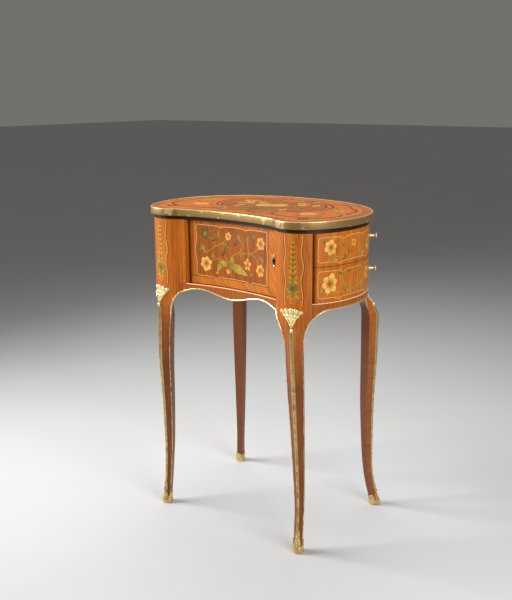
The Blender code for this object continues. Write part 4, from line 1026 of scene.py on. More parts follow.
def topStraps():
    straps = Lines()
    width = topDesign["strap"]
    ringX, ringY = topDesign["ring"]
    radius = topDesign["ringRadius"]
    for side in (1, -1):
        for k, (share, points) in enumerate(topStrapPaths):
            straps.add(drawn(points, side), width * share, "strap", lifts["leaf"] + lifts["strapStep"] * k,
                       taper=topDesign["taper"])
        straps.add(drawn(topLink, side), width * 0.8, "strap", lifts["stem"])
        ring = [(side * ringX + radius * cos(a), ringY + radius * sin(a)) for a in roundTurn(28)]
        straps.add(ring, width, "strap", lifts["ring"], closed=True)
    bridge = topDesign["bridge"]
    straps.add(straightLine(flipped(bridge), bridge, 6), width * 0.8, "strap", lifts["leaf"])
    return straps


def topLines():
    # green edging, stems and the fine light line inside the border
    lines = Lines()
    for side in (1, -1):
        for width, tint, lift, taper, paths in topStems:
            for points in paths:
                lines.add(drawn(points, side), width, tint, lift, taper=taper)
    edge = outline(topDesign["rimGap"] + topDesign["band"] + topDesign["stringGap"], 60)
    lines.add(edge, topDesign["string"], "string", lifts["stem"], closed=True)
    return lines


def topFlowers():
    spray = Spray(7)
    for u, v, size in topDaisies:
        spray.flower("daisy", u / 1000, v / 1000, size / 1000)
    for u, v, size in topRoses:
        spray.flower("rose", u / 1000, v / 1000, size / 1000)
    for u, v, turn, size in middleSprigs:
        spray.sprig(u / 1000, v / 1000, turn, size / 1000, "sage")
    for k, turn in enumerate(fanDesign["turns"]):      # blades that fan out below the roses
        way, start = radians(turn), fanDesign["start"]
        length = fanDesign["length"] - fanDesign["shorter"] * (k % 2)
        spray.add("blade", start * cos(way), fanDesign["centre"] + start * sin(way), turn, length,
                  fanDesign["width"], ("moss", "sage", "olive")[k % 3], lifts["blade"])
    for side in (1, -1):
        for kind, u, v, size, tint, squash in sideFlowers:
            spray.flower(kind, side * u / 1000, v / 1000, size / 1000, tint, squash)
        for u, v, turn, size in sideSprigs:
            spray.sprig(side * u / 1000, v / 1000, turn if side == 1 else 180 - turn, size / 1000, "olive")
        tipX, *tip = sideTip
        spray.add("leaf", side * tipX, *tip, "lime")
        for u, v, turn, size in footAcanthus:
            way = turn if side == 1 else 180 - turn
            spray.add("leaf", side * u / 1000, v / 1000, way, size / 1000, size * 0.0004, "lime")
            spray.add("leaf", side * u / 1000, v / 1000, way - side * 35, size * 0.0007, size * 0.0003,
                      "olive", lifts["under"])
    for turn, size in palmetteDesign["leaves"]:      # palmette above the centre
        spray.add("leaf", 0.0, palmetteDesign["foot"], turn, size / 1000, size * 0.00036,
                  "olive" if turn != 90 else "lime")
    spray.disc(*palmetteDesign["bead"])
    return spray


def dressTop():
    makeTopPanel()
    half = drawn(cartoucheEdge)
    ground = veneerSheet(half + mirrored(half)[::-1], topSurface, cartoucheVeneer, topDesign["cartoucheLift"])
    addPiece(ground, "top_cartouche_ground", "case", "veneer")
    addPiece(wrapped(topStraps().grow(strapWood), topSurface), "top_strapwork", "case", "veneer")
    addInlay("top", "case", topSurface, topLines(), topFlowers())
    print("top dressed")


# rim and fillets: brass bars swept along their edges
rimDesign = {"thickness": 0.0042, "round": 0.0011}
filletDesign = {"size": 0.0032, "legShare": 0.5, "inset": 0.9, "lineEnd": 0.0225, "backEnd": 0.0300,
                "drop": 0.0011, "apronInset": 0.0006,
                "swellBelow": 0.03, "swell": 0.06, "tail": 0.15}      # where a line swells, and its thin end
ledgeDesign = {"section": (0.0020, 0.0018, 0.0004), "drop": 0.0004, "inset": 0.0002, "frontStart": 3}


def sweptBar(name, path, material, section, slot, replaced=(), closed=False, girths=None, tint=None,
             cornerSteps=4, tree=sweepTree):
    count = len(path)
    edges = [(i, i + 1) for i in range(count - 1)] + ([(count - 1, 0)] if closed else [])
    values = {"girth": girths or [1.0] * count}
    if tint:
        values["tint"] = [tints[tint]] * count
    mesh = growBars(carrierMesh(path, edges, **values), material, section, cornerSteps, tree)
    return addPiece(outwards(mesh), name, "case", slot, replaced)


def dressRim():
    middle, thickness = (rimUnder + tableHeight) / 2, rimDesign["thickness"]
    path = [(x, y, middle) for x, y in outline(thickness / 2, 64)]
    sweptBar("brass_rim", path, rimBrass, (thickness, tableHeight - rimUnder, rimDesign["round"]),
             "aged_brass", ("top_rim",), closed=True)
    print("rim swept")


# aprons, shaped below the case floor
apronDesign = {"centre": 0.0225, "arch": 0.0085, "end": 0.0205, "side": 0.0130, "archShare": 0.64,
               "sideShare": 0.5}


def frontDrop(share):
    arch = apronDesign["archShare"]
    if share < arch:
        wave = (1 - cos(pi * share / arch)) / 2
        return apronDesign["centre"] + (apronDesign["arch"] - apronDesign["centre"]) * wave
    fall = 1 - cos(pi / 2 * (share - arch) / (1 - arch))
    return apronDesign["arch"] + (apronDesign["end"] - apronDesign["arch"]) * fall


def sideDrop(share):
    rise = max(1 - (1 - share) / apronDesign["sideShare"], 0.0)
    return apronDesign["side"] + (caseFloor - flareTop - apronDesign["side"]) * rise ** 2


def edgePath(where, inset, count=49):
    # plan points along one side of the case, post to post
    if where == "front":
        return [hollowPoint(x, inset) for x in spread(-cuspX, cuspX, count)]
    if where == "back":
        edge = angleAtX(backPostX, inset)
        half = [sidePoint(angle, inset) for angle in spread(edge, 90.0, count // 2 + 1)]
        return half + mirrored(half[:-1])[::-1]
    path = [sidePoint(angle, inset)
            for angle in spread(kidney["frontPostEnd"], angleAtY(backPostY, inset), count)]
    return path if where == "right" else mirrored(path)


# legs: share of the knee height, offset of the middle from the post's corner, side of the square
frontLegLine = ((0.018, 0.0102, 0.0132, 0.0155), (0.120, 0.0079, 0.0179, 0.0145),
                (0.220, 0.0070, 0.0215, 0.0152), (0.350, 0.0049, 0.0223, 0.0178),
                (0.570, 0.0023, 0.0196, 0.0218), (0.790, 0.0005, 0.0150, 0.0260),
                (1.000, -0.0034, 0.0144, 0.0285))
backLegLine = ((0.018, 0.0223, 0.0323, 0.0155), (0.120, 0.0140, 0.0235, 0.0145),
               (0.220, 0.0092, 0.0186, 0.0152), (0.350, 0.0070, 0.0164, 0.0178),
               (0.570, 0.0056, 0.0149, 0.0215), (0.790, 0.0068, 0.0162, 0.0250),
               (1.000, 0.0072, 0.0166, 0.0268))
legDesign = {"footClear": 0.0103, "faceSteps": 12, "lean": 0.0240, "frontTurn": -72.0, "backTurn": 30.0,
             "flarePower": 3.5, "rows": (46, 24, 12, 5),      # foot to knee, flare, lean and post
             "innerMark": 1.4}      # UV x of the inner faces


def legLine(line, share):
    # smooth values between the rows of a leg's line
    share = min(max(share, line[0][0]), line[-1][0])
    i = max(k for k in range(len(line) - 1) if line[k][0] <= share)
    before, here, there, after = (line[min(max(k, 0), len(line) - 1)] for k in (i - 1, i, i + 1, i + 2))
    step = there[0] - here[0]
    t = (share - here[0]) / step
    values = []
    for k in (1, 2, 3):
        slopeIn = (there[k] - before[k]) / max(there[0] - before[0], step) * step
        slopeOut = (after[k] - here[k]) / max(after[0] - here[0], step) * step
        values.append((2 * t ** 3 - 3 * t ** 2 + 1) * here[k] + (t ** 3 - 2 * t ** 2 + t) * slopeIn
                      + (3 * t ** 2 - 2 * t ** 3) * there[k] + (t ** 3 - t ** 2) * slopeOut)
    return values


class LegShape:
    # a right-hand leg with its post: four edges, outer first and anticlockwise
    def __init__(self, line, turn, postFace, postCorners, leftRise):
        self.line, self.turn, self.postFace, self.postCorners = line, turn, postFace, postCorners
        self.leftRise = leftRise      # how much higher the flare ends on the left edge
        self.corner = postFace(0.0)

    def squareCorner(self, z, quarter):
        outX, outY, side = legLine(self.line, z / kneeZ)
        angle = radians(self.turn + 90 * quarter)
        return (self.corner[0] + outX + side / sqrt(2) * cos(angle),
                self.corner[1] + outY + side / sqrt(2) * sin(angle))

    def flare(self, z, raised=0.0):
        return clamped((z - kneeZ) / (kidney["flareHeight"] + raised)) ** legDesign["flarePower"]

    def facePoint(self, z, spot):
        # -1 at the left edge, 0 at the outer corner, 1 at the right edge
        end = self.squareCorner(z, 1 if spot >= 0 else 3)
        below = Vector(mix(self.squareCorner(z, 0), end, abs(spot)))
        along = (Vector(self.postFace(spot + 0.02)) - Vector(self.postFace(spot - 0.02))).normalized()
        shift = Vector(self.postFace(spot)) - below
        sideways = along * shift.dot(along)
        # the edges sweep out to the aprons while the face itself leans out gently
        rise = clamped((z - kneeZ) / (kidney["flareHeight"] + legDesign["lean"] * (1 - spot * spot)))
        raised = self.leftRise * spot * spot if spot < 0 else 0.0
        point = below + sideways * self.flare(z, raised) + (shift - sideways) * smooth(rise)
        return (point.x, point.y)

    def innerPoint(self, z, place):
        # behind the faces: 0 right inner corner, 1 left inner corner
        inner = self.squareCorner(z, 2)
        below = inner if place == 0 else mix(inner, self.squareCorner(z, 3), 0.5)
        return mix(below, self.postCorners[place], self.flare(z, self.leftRise * place))

    def middle(self, z):
        five = [self.facePoint(z, 0.0), self.facePoint(z, 1.0), self.innerPoint(z, 0), self.innerPoint(z, 1),
                self.facePoint(z, -1.0)]
        return (sum(p[0] for p in five) / 5, sum(p[1] for p in five) / 5)

    def lifted(self, z, spot, lift):
        x, y = self.facePoint(z, spot)
        midX, midY = self.middle(z)
        away = Vector((x - midX, y - midY)).normalized()
        return (x + away.x * lift, y + away.y * lift, z)

    def footPoint(self, z, quarter, lift):
        # round the square below the knee: quarter 0..4 from the outer corner
        k = int(quarter) % 4
        x, y = mix(self.squareCorner(z, k), self.squareCorner(z, k + 1), quarter - int(quarter))
        a, c = self.squareCorner(z, 0), self.squareCorner(z, 2)
        away = Vector((x - (a[0] + c[0]) / 2, y - (a[1] + c[1]) / 2)).normalized()
        return (x + away.x * lift, y + away.y * lift)


def makeLegShapes():
    postInner = overhang + kidney["postDepth"]
    cusp = cuspAngle(overhang)
    innerCorner = sidePoint(kidney["frontPostEnd"], postInner)

    def frontFace(spot):
        end = kidney["frontPostEnd"] if spot >= 0 else cusp
        return sidePoint(kidney["frontArris"] + (end - kidney["frontArris"]) * abs(spot), overhang)
    front = LegShape(frontLegLine, legDesign["frontTurn"], frontFace,
                     (innerCorner, (cuspX, innerCorner[1])), caseFloor - flareTop - apronDesign["end"])
    first, last = angleAtY(backPostY, overhang), angleAtX(backPostX, overhang)
    ridge = (first + last) / 2

    def backFace(spot):
        angle = ridge + ((last - ridge) if spot >= 0 else (ridge - first)) * spot
        return sidePoint(angle, overhang - kidney["backPostProud"] * (1 - abs(spot)))
    cornerX = sidePoint(angleAtY(backPostY, postInner), postInner)[0]
    cornerY = sidePoint(angleAtX(backPostX, postInner), postInner)[1]
    back = LegShape(backLegLine, legDesign["backTurn"], backFace,
                    ((backPostX, cornerY), (cornerX, backPostY)), 0.0)
    return {"front": front, "back": back}


legShapes = makeLegShapes()


def makeLeg(shape, material, flip):
    right = spread(0.0, 1.0, legDesign["faceSteps"] + 1)
    left = spread(-1.0, 0.0, legDesign["faceSteps"] + 1)[:-1]
    footRows, flareRows, leanRows, postRows = legDesign["rows"]
    leanTop = flareTop + legDesign["lean"]
    heights = spread(legDesign["footClear"], kneeZ, footRows) + spread(kneeZ, flareTop, flareRows)[1:]
    heights += spread(flareTop, leanTop, leanRows)[1:] + spread(leanTop, postTop, postRows)[1:]
    inner = legDesign["innerMark"]
    across = right + [inner, inner] + left + [0.0]
    size = len(across) - 1
    points = []
    for z in heights:
        ring = [shape.facePoint(z, spot) for spot in right] + [shape.innerPoint(z, 0), shape.innerPoint(z, 1)]
        ring += [shape.facePoint(z, spot) for spot in left]
        points += [flipped((x, y, z), flip) for x, y in ring]
    faces, uvs = quads(len(heights), size, True), []
    for low, high in zip(heights, heights[1:]):
        for a, b in zip(across, across[1:]):
            if inner in (a, b):
                a = b = inner
            uvs.append([(a, low), (b, low), (b, high), (a, high)])
    for first, turn in ((0, -1), (len(points) - size, 1)):
        faces.append(tuple(range(first, first + size))[::turn])
        uvs.append([(inner, 0.0)] * size)
    return outwards(meshFrom("leg", points, faces, material, uvs))


# gilt mounts on the legs
chuteDesign = {"low": kneeZ + 0.0405, "high": flareTop + 0.0220, "wall": 0.0006, "rise": 0.0034, "wing": 0.18,
               "scallop": 0.0024, "leaflets": 0.42,      # leaflets: share of the last tier's lower row
               "bead": 0.0031, "beadDrop": 0.0068, "beadLift": 0.0010, "beadStretch": 1.5,
               # tiers of the leaf: where each ends, half width at its foot and head, lobes
               "tiers": ((0.20, 0.09, 0.19, 3), (0.46, 0.19, 0.27, 3), (1.00, 0.29, 0.60, 5))}
stripDesign = {"spread": 0.23, "rise": 0.0018, "channel": 0.0011, "wall": 0.0005, "low": 0.0498,
               "chuteGap": 0.0090, "channelWidth": 0.3}
shoeDesign = {"sleeve": 0.0500, "collar": 0.0355, "notch": 0.0125, "ears": 0.0290, "inner": 0.0210,
              "lip": 0.0014, "wall": 0.0014, "hoof": 0.0100, "toe": 0.0024, "toeHeight": 0.0065,
              "swellTop": 0.032, "swellDepth": 0.014, "sole": 0.004, "soleIn": 0.0018, "filling": 0.006,
              # round the corner, as shares of a face
              "sleeveEdge": 0.34, "notchAt": 0.6, "toeAt": 0.32, "toeWidth": 0.26, "cornerWidth": 0.3,
              "toeRise": 0.0085, "thinnest": 0.0006}
# chasing of the shoes: widths as shares of a face, heights in metres
chasingDesign = {"rib": 0.08, "channelAt": 0.2, "channel": 0.07, "bead": 0.13, "band": 0.5,
                 "beadHeight": 0.0024, "grooveDrop": 0.0042, "groove": 0.0016, "sleeveStart": 0.003}
mountGap = 0.0001      # between a mount and the wood


def reliefMesh(name, rows, columns, spotOf, material, flip, closed=False):
    # shell of a mount: spotOf gives the outer point, the inner point and the relief
    grid = [[spotOf(row, column) for column in columns] for row in rows]
    outer, inner = ([[flipped(spot[k], flip) for spot in row] for row in grid] for k in (0, 1))
    points, faces = gridSolid(outer, inner, closed)
    mesh = meshFrom(name, points, faces, material)
    relief = [spot[2] for row in grid for spot in row]
    setAttribute(mesh, "relief", "FLOAT", relief + [0.0] * len(relief))
    return mesh


def leafHeight(t, s):
    # tiers of lobes that curl out towards their tips; gives the relief and the half width
    start = 0.0
    for end, foot, head, lobes in chuteDesign["tiers"]:
        if t <= end:
            break
        start = end
    rise = (t - start) / (end - start)
    lowerRow = chuteDesign["leaflets"] if lobes == 5 else 0.0
    if rise < lowerRow:      # leaflets between the upper ones
        lift, lobe = rise / lowerRow, abs(sin((lobes - 1) * pi * s / 2))
    else:
        lift, lobe = (rise - lowerRow) / (1 - lowerRow), abs(cos(lobes * pi * s / 2))
    tip = sqrt(max(1 - (max(lift - 0.75, 0.0) / 0.25) ** 2, 0.0))
    height = (0.3 + 0.7 * lobe ** 0.6) * (0.4 + 0.7 * lift ** 1.3) * (0.3 + 0.7 * tip)
    return height * (1 - s ** 6), foot + (head - foot) * rise ** 0.9


def makeChute(shape, flip):
    # tiered acanthus leaf over the corner, with a bead at its foot
    low, high = chuteDesign["low"], chuteDesign["high"]
    lastTier = chuteDesign["tiers"][1][0]

    def spotOf(t, s):
        height, width = leafHeight(t, s)
        wave = abs(cos(2.5 * pi * s)) - 0.5
        scallop = chuteDesign["scallop"] * wave * max(t - 0.75, 0.0) / 0.25
        droop = chuteDesign["wing"] * abs(s) ** 1.5 * max(t - lastTier, 0.0) / (1 - lastTier)
        z = low + (high - low) * (t - droop) + scallop
        return (shape.lifted(z, s * width, chuteDesign["wall"] + chuteDesign["rise"] * height),
                shape.lifted(z, s * width, mountGap), min(1.25 * height, 1.0))
    leaf = reliefMesh("leaf", spread(0.0, 1.0, 91), spread(-1.0, 1.0, 51), spotOf, chasedGilt, flip)
    place = flipped(shape.lifted(low - chuteDesign["beadDrop"], 0.0, chuteDesign["beadLift"]), flip)
    bm = bmesh.new()
    bm.from_mesh(leaf)
    bead = bmesh.ops.create_uvsphere(
        bm, u_segments=20, v_segments=12, radius=chuteDesign["bead"],
        matrix=Matrix.Translation(place) @ Matrix.Diagonal((1.0, 1.0, chuteDesign["beadStretch"], 1.0)))
    relief = bm.verts.layers.float["relief"]
    for vertex in bead["verts"]:
        vertex[relief] = 0.9
    bm.to_mesh(leaf)
    bm.free()
    return outwards(leaf)


def makeStrip(shape, flip):
    # strip down the corner: two reeds with a dark channel between
    def spotOf(z, s):
        dip = hump(s, stripDesign["channelWidth"])
        height = stripDesign["rise"] * sqrt(max(1 - s * s, 0.0)) ** 0.7 - stripDesign["channel"] * dip
        spot = s * stripDesign["spread"]
        return (shape.lifted(z, spot, stripDesign["wall"] + max(height, 0.0)),
                shape.lifted(z, spot, mountGap), 1 - dip)
    heights = spread(stripDesign["low"], chuteDesign["low"] - stripDesign["chuteGap"], 64)
    return outwards(reliefMesh("strip", heights, spread(-1.0, 1.0, 21), spotOf, stripBrass, flip))


def shoeTop(quarter):
    # height of a shoe's upper edge: sleeve round the corner, notches on the outer faces
    sleeve, notch, ears, inner, lip = (shoeDesign[key] for key in ("sleeve", "notch", "ears", "inner", "lip"))
    edge, low = shoeDesign["sleeveEdge"], shoeDesign["notchAt"]
    away = min(quarter, 4 - quarter)
    if away < edge:
        return sleeve + lip
    if away < low:
        fall = (away - edge) / (low - edge)
        return sleeve + (notch - sleeve) * fall ** 0.9 + lip * (1 - fall)
    if away < 1:
        return notch + (ears - notch) * (away - low) / (1 - low)
    return inner + (ears - inner) * (2 - away) ** 2


def shoeRelief(away, z, top):
    # chasing: a rib and two channels on the sleeve, a bead at the collar, a raised edge
    design, above = chasingDesign, z - shoeDesign["collar"]
    onSleeve = clamped((above - design["sleeveStart"]) / design["sleeveStart"])
    rib = 1.3 * hump(away, design["rib"]) - 1.1 * hump(away - design["channelAt"], design["channel"])
    band = hump(away, design["band"])
    bead = (hump(away, design["bead"]) + 0.4 * band) * hump(above, design["beadHeight"])
    groove = band * hump(above + design["grooveDrop"], design["groove"])
    edge = hump(top - z, shoeDesign["lip"])
    return 0.7 * rib * onSleeve + 1.7 * bead - 0.7 * groove + 0.4 * edge


def makeShoe(shape, flip):
    # cloven hoof that swells out below its edge, with a leaf sleeve up the corner
    sole, swellDepth = shoeDesign["sole"], shoeDesign["swellDepth"]

    def spotOf(t, quarter):
        top, away = shoeTop(quarter), min(quarter, 4 - quarter)
        z = top * t
        base = max(z, legDesign["footClear"])
        middle = mix(shape.squareCorner(base, 0), shape.squareCorner(base, 2), 0.5)
        side = dist(middle, shape.footPoint(base, quarter, 0.0))
        depth = clamped((top - z) / swellDepth) * clamped((shoeDesign["swellTop"] - z) / swellDepth)
        toes = hump(away - shoeDesign["toeAt"], shoeDesign["toeWidth"])
        toes += 0.75 * hump(away, shoeDesign["cornerWidth"])
        toes *= hump(z - shoeDesign["toeHeight"], shoeDesign["toeRise"])
        swell = max(shoeDesign["hoof"] - side, 0.0) + shoeDesign["toe"] * toes
        relief = shoeRelief(away, z, top)
        lift = shoeDesign["wall"] * (1 + 0.8 * relief) + swell * smooth(depth)
        if z < sole:
            lift -= shoeDesign["soleIn"] * (1 - z / sole) ** 2
        inside = 2 * mountGap if z > legDesign["footClear"] else -shoeDesign["filling"]
        outer, inner = ((*shape.footPoint(base, quarter, reach), z)
                        for reach in (max(lift, shoeDesign["thinnest"]), inside))
        return outer, inner, clamped(0.4 + 0.5 * relief + 0.3 * depth)
    quarters = spread(0.0, 4.0, 129)[:-1]
    return outwards(reliefMesh("shoe", spread(0.0, 1.0, 48), quarters, spotOf, shoeBrass, flip, closed=True))


def dressLegs():
    for end, shape in legShapes.items():
        veneer = frontLegVeneer if end == "front" else backLegVeneer
        for side, flip in (("right", False), ("left", True)):
            for mesh, name, slot, node, sharp in (
                    (makeLeg(shape, veneer, flip), "veneered_leg", "veneer", "leg", 35.0),
                    (makeChute(shape, flip), "acanthus_chute", "gilt", "chute", 50.0),
                    (makeStrip(shape, flip), "reeded_strip", "gilt", "arris_strip", 60.0),
                    (makeShoe(shape, flip), "hoof_shoe", "gilt", "sabot", 60.0)):
                addPiece(mesh, f"{name}_{end}_{side}", "case", slot, (f"{node}_{end}_{side}",), sharp)
    print("legs dressed")


def legEdge(end, side, spot):
    # brass line up one edge of a leg to the apron, with its girths
    shape = legShapes[end]
    inset, legShare = filletDesign["inset"], filletDesign["legShare"]
    top = flareTop + (shape.leftRise if spot < 0 else 0.0) - filletDesign["drop"]
    low = filletDesign["lineEnd"] if end == "front" else top - filletDesign["backEnd"]
    tail = 1.0 if end == "front" else filletDesign["tail"]
    path, girths = [], []
    for z in spread(low, top, 110 if end == "front" else 24):
        rise = smooth(clamped((z - kneeZ + filletDesign["swellBelow"]) / filletDesign["swell"]))
        x, y, _ = shape.lifted(z, spot * (inset + (1 - inset) * rise), 2 * mountGap)
        path.append((side * x, y, z))
        fade = tail + (1 - tail) * (z - low) / (top - low)
        girths.append((legShare + (1 - legShare) * rise) * fade)
    return path, girths


# the two leg edges that each apron's fillet joins: leg, side of the table, edge of the leg
filletEnds = {"front": (("front", -1, -1.0), ("front", 1, -1.0)),
              "right": (("front", 1, 1.0), ("back", 1, -1.0)),
              "left": (("front", -1, 1.0), ("back", -1, -1.0)),
              "back": (("back", 1, 1.0), ("back", -1, 1.0))}


def dressAprons():
    size = filletDesign["size"]
    for where in ("front", "back", "left", "right"):
        dressNode("apron_" + where, apronVeneer, "veneered_apron_" + where, "case", "veneer")
        drop = frontDrop if where == "front" else sideDrop
        path = edgePath(where, overhang + filletDesign["apronInset"])
        last = len(path) - 1
        low = [(x, y, caseFloor - drop(abs(2 * i / last - 1)) - filletDesign["drop"])
               for i, (x, y) in enumerate(path)][1:-1]
        (rising, riseGirths), (falling, fallGirths) = (legEdge(*which) for which in filletEnds[where])
        sweptBar("apron_fillet_" + where, rising + low + falling[::-1], filletBrass, (size, size, size / 2),
                 "gilt", ("fillet_" + where,), girths=riseGirths + [1.0] * len(low) + fallGirths[::-1],
                 tree=roundTree)
        # pale string along the case floor's ledge, made pale as a painted highlight where light catches the
        # ledge
        ledge = [(x, y, caseFloor - ledgeDesign["drop"])
                 for x, y in edgePath(where, overhang + ledgeDesign["inset"])]
        start = ledgeDesign["frontStart"] if where == "front" else 0
        sweptBar("apron_ledge_" + where, ledge[start:], lineWood, ledgeDesign["section"], "veneer",
                 tint="pale", cornerSteps=1)
    print("aprons dressed")


# posts: a stringed panel with a husk pendant above each chute
postDesign = {"right": -0.1535, "left": -0.1605, "half": 0.0185, "low": 0.5395, "high": 0.6760,
              "linePast": 0.004, "sway": 0.0024, "light": 0.0012, "dark": 0.0008, "darkGap": 0.0022,
              "backHalf": 0.045}
pendantDesign = {"husks": (0.42, 0.5, 0.58, 0.66, 0.74, 0.82, 0.89), "husk": 0.0145, "shrink": 0.075,
                 "bead": 0.0036, "bloom": 0.017, "bloomAt": 0.045, "greenAt": 0.24,
                 "green": (6, 0.001, 0.0105, 0.0085), "eye": 0.006, "leafTurns": (35, 145, 215, 325),
                 # leaves and the tip: share of the height, length and width
                 "leafRows": ((0.15, 0.017, 0.007), (0.36, 0.013, 0.006)), "tip": (0.06, 0.012, 0.003)}


def pendant(spray, u, low, high):
    # husks that shrink upwards, beads, a green flower and a bloom at the foot
    span = high - low
    green = low + span * pendantDesign["greenAt"]
    spray.flower("anemone", u, low + span * pendantDesign["bloomAt"], pendantDesign["bloom"], "amber")
    spray.ring(u, green, *pendantDesign["green"], "sage", turn=30)
    spray.disc(u, green, pendantDesign["eye"], "moss")
    for turn in pendantDesign["leafTurns"]:
        for share, length, width in pendantDesign["leafRows"]:
            spray.add("leaf", u, low + span * share, turn, length, width, "lime", lifts["under"])
    for k, share in enumerate(pendantDesign["husks"]):
        size = pendantDesign["husk"] * (1 - pendantDesign["shrink"] * k)
        for turn in (62, 90, 118):
            upright = turn == 90
            spray.add("husk", u, low + span * share, turn, size, size * 0.42, "olive" if upright else "straw",
                      lifts["leaf"] + lifts["strapStep"] * upright)
        spray.disc(u, low + span * share, pendantDesign["bead"], "moss")
    below, length, width = pendantDesign["tip"]
    spray.add("blade", u, high - span * below, 90, length, width, "olive")


def wavyLine(u, low, high, sway):
    path = []
    for share in spread(0.0, 1.0, 60):
        path.append((u + sway * sin(4.5 * pi * share) * (0.4 + 0.6 * sin(pi * share)),
                     low + (high - low) * share))
    return path


def dressPosts():
    low, high, half = (postDesign[key] for key in ("low", "high", "half"))
    past, back = postDesign["linePast"], legShapes["back"]
    for side, flip in (("right", False), ("left", True)):
        place, middle = sideSurface(flip), postDesign[side]
        lines = Lines()
        for way in (-1, 1):
            for gap, width, tint, lift in (
                    (0.0, postDesign["light"], "string", lifts["leaf"]),
                    (postDesign["darkGap"], postDesign["dark"], "dark", lifts["line"])):
                path = wavyLine(middle + way * (half + gap), low, high + past, way * postDesign["sway"])
                lines.add(path, width, tint, lift)
        addPiece(wrapped(lines.grow(lineWood), place), "post_stringing_front_" + side, "case", "veneer")

        def backPlace(u, v, w, turnOver=flip):
            return flipped(back.lifted(v, u / postDesign["backHalf"], w), turnOver)
        for end, seed, u, surface in (("front", 21, middle, place), ("back", 22, 0.0, backPlace)):
            spray = Spray(seed)
            pendant(spray, u, low + past, high)
            addPiece(wrapped(spray.grow(), surface), f"post_pendant_{end}_{side}", "case", "veneer")
    print("posts dressed")


# lock plate: a moulded oval with a keyhole
plateDesign = {"width": 0.0120, "height": 0.0240, "bore": 0.0021, "slot": 0.0012, "slotEnd": 0.0072,
               "clear": 1.12,      # hole in the veneer, as a share of the keyhole
               "inside": (0.0075, 0.0090),      # reach of the keyhole's walls in the door
               # moulding from the keyhole to the rim: share of the way and height
               "moulding": ((0.0, 0.0012), (0.12, 0.0018), (0.3, 0.0013), (0.55, 0.0012), (0.72, 0.0021),
                            (0.86, 0.0024), (0.96, 0.0017), (1.0, 0.0004)), "darkRings": 3}


def keyholeReach(angle):
    # distance from the keyhole's middle to its edge
    if sin(angle) < 0:
        sideways = plateDesign["slot"] / max(abs(cos(angle)), 0.001)
        downwards = plateDesign["slotEnd"] / max(-sin(angle), 0.001)
        return max(plateDesign["bore"], min(sideways, downwards))
    return plateDesign["bore"]


def plateMiddle():
    low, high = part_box("escutcheon")
    return doorRadius * asin((low.x + high.x) / 2 / doorRadius), (low.z + high.z) / 2


def keyholeOutline(grown):
    keyU, keyZ = plateMiddle()
    return [(keyU + grown * keyholeReach(a) * cos(a), keyZ + grown * keyholeReach(a) * sin(a))
            for a in roundTurn(60)]


def dressLockPlate():
    keyU, keyZ = plateMiddle()
    outer, inner = [], []
    angles = roundTurn(60)
    for share, height in plateDesign["moulding"]:
        spots = []
        for angle in angles:
            across, upwards = cos(angle), sin(angle)
            oval = 1 / hypot(across * 2 / plateDesign["width"], upwards * 2 / plateDesign["height"])
            reach = keyholeReach(angle) + (oval - keyholeReach(angle)) * share
            spots.append((keyU + reach * across, keyZ + reach * upwards))
        outer.append([doorSurface(u, v, height) for u, v in spots])
        inner.append([doorSurface(u, v, 2 * mountGap) for u, v in spots])
    plate = meshFrom("plate", *gridSolid(outer, inner, closed=True), gilt)
    plate.materials.append(keyholeShade)
    row = 2 * len(angles)
    wall = row * (len(outer) - 1)
    for k, polygon in enumerate(plate.polygons):      # painted shade: near-black in the sunk middle and the keyhole
        if k < plateDesign["darkRings"] * row or wall <= k < wall + len(angles):
            polygon.material_index = 1
    addPiece(outwards(plate), "lock_plate", "door", "gilt", ("escutcheon",))


# door: veneered panel, dark field, stringing and flowers
doorLow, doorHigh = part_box("door_panel")[0].z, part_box("door_panel")[1].z
doorDesign = {"left": -0.0965, "right": 0.0985, "low": 0.5625, "high": 0.6735, "stile": 0.1040,
              "edge": 0.1330, "footStart": -0.1085, "footTop": 0.5605, "string": 0.0013, "stem": 0.0011,
              "seam": 0.0009, "bloomSquash": 1.12,
              # clear of the solid's facets
              "fieldLift": 0.00012, "stileLift": 0.00011, "inlayLift": 0.00008}
# rings of petals in metres: place, count, start, length, width and tint, then lift, turn and squash
doorRings = ((0.041, 0.599, 5, 0.001, 0.011, 0.008, "honey", lifts["petal"], 90, 1.3),
             (-0.073, 0.655, 8, 0.002, 0.011, 0.0075, "moss"),
             (-0.073, 0.655, 6, 0.0, 0.006, 0.005, "olive", lifts["centre"], 20))
doorDaisy = (-0.013, 0.578, 0.011)
# flowers, leaves and stems of the door in millimetres, heights from the floor
doorBlooms = ((-12, 654, 17, "honey"), (80, 648, 27, "honey"), (-71, 590, 31, "cream"),
              (78, 592, 25, "honey"))
doorLeaves = (
    (-38, 645, 96, 19, 7, "olive"), (-84, 634, -62, 22, 12, "olive"), (-50, 598, 108, 19, 9, "olive"),
    (-27, 608, 76, 22, 7, "moss"), (13, 664, -70, 20, 8, "olive"), (36, 645, 60, 19, 8, "sage"),
    (47, 657, 235, 16, 7, "sage"), (70, 616, 10, 17, 9, "olive"), (84, 622, 200, 15, 8, "sage"),
    (-88, 612, 75, 16, 7, "sage"), (88, 606, 120, 15, 7, "olive"), (60, 582, 200, 15, 7, "olive"),
    (-16, 628, 100, 15, 6, "sage"), (4, 634, 60, 16, 6, "moss"), (-57, 667, 250, 13, 6, "sage"),
    (58, 667, 280, 14, 6, "olive"), (28, 612, 150, 13, 6, "olive"), (-55, 640, 30, 13, 6, "moss"))
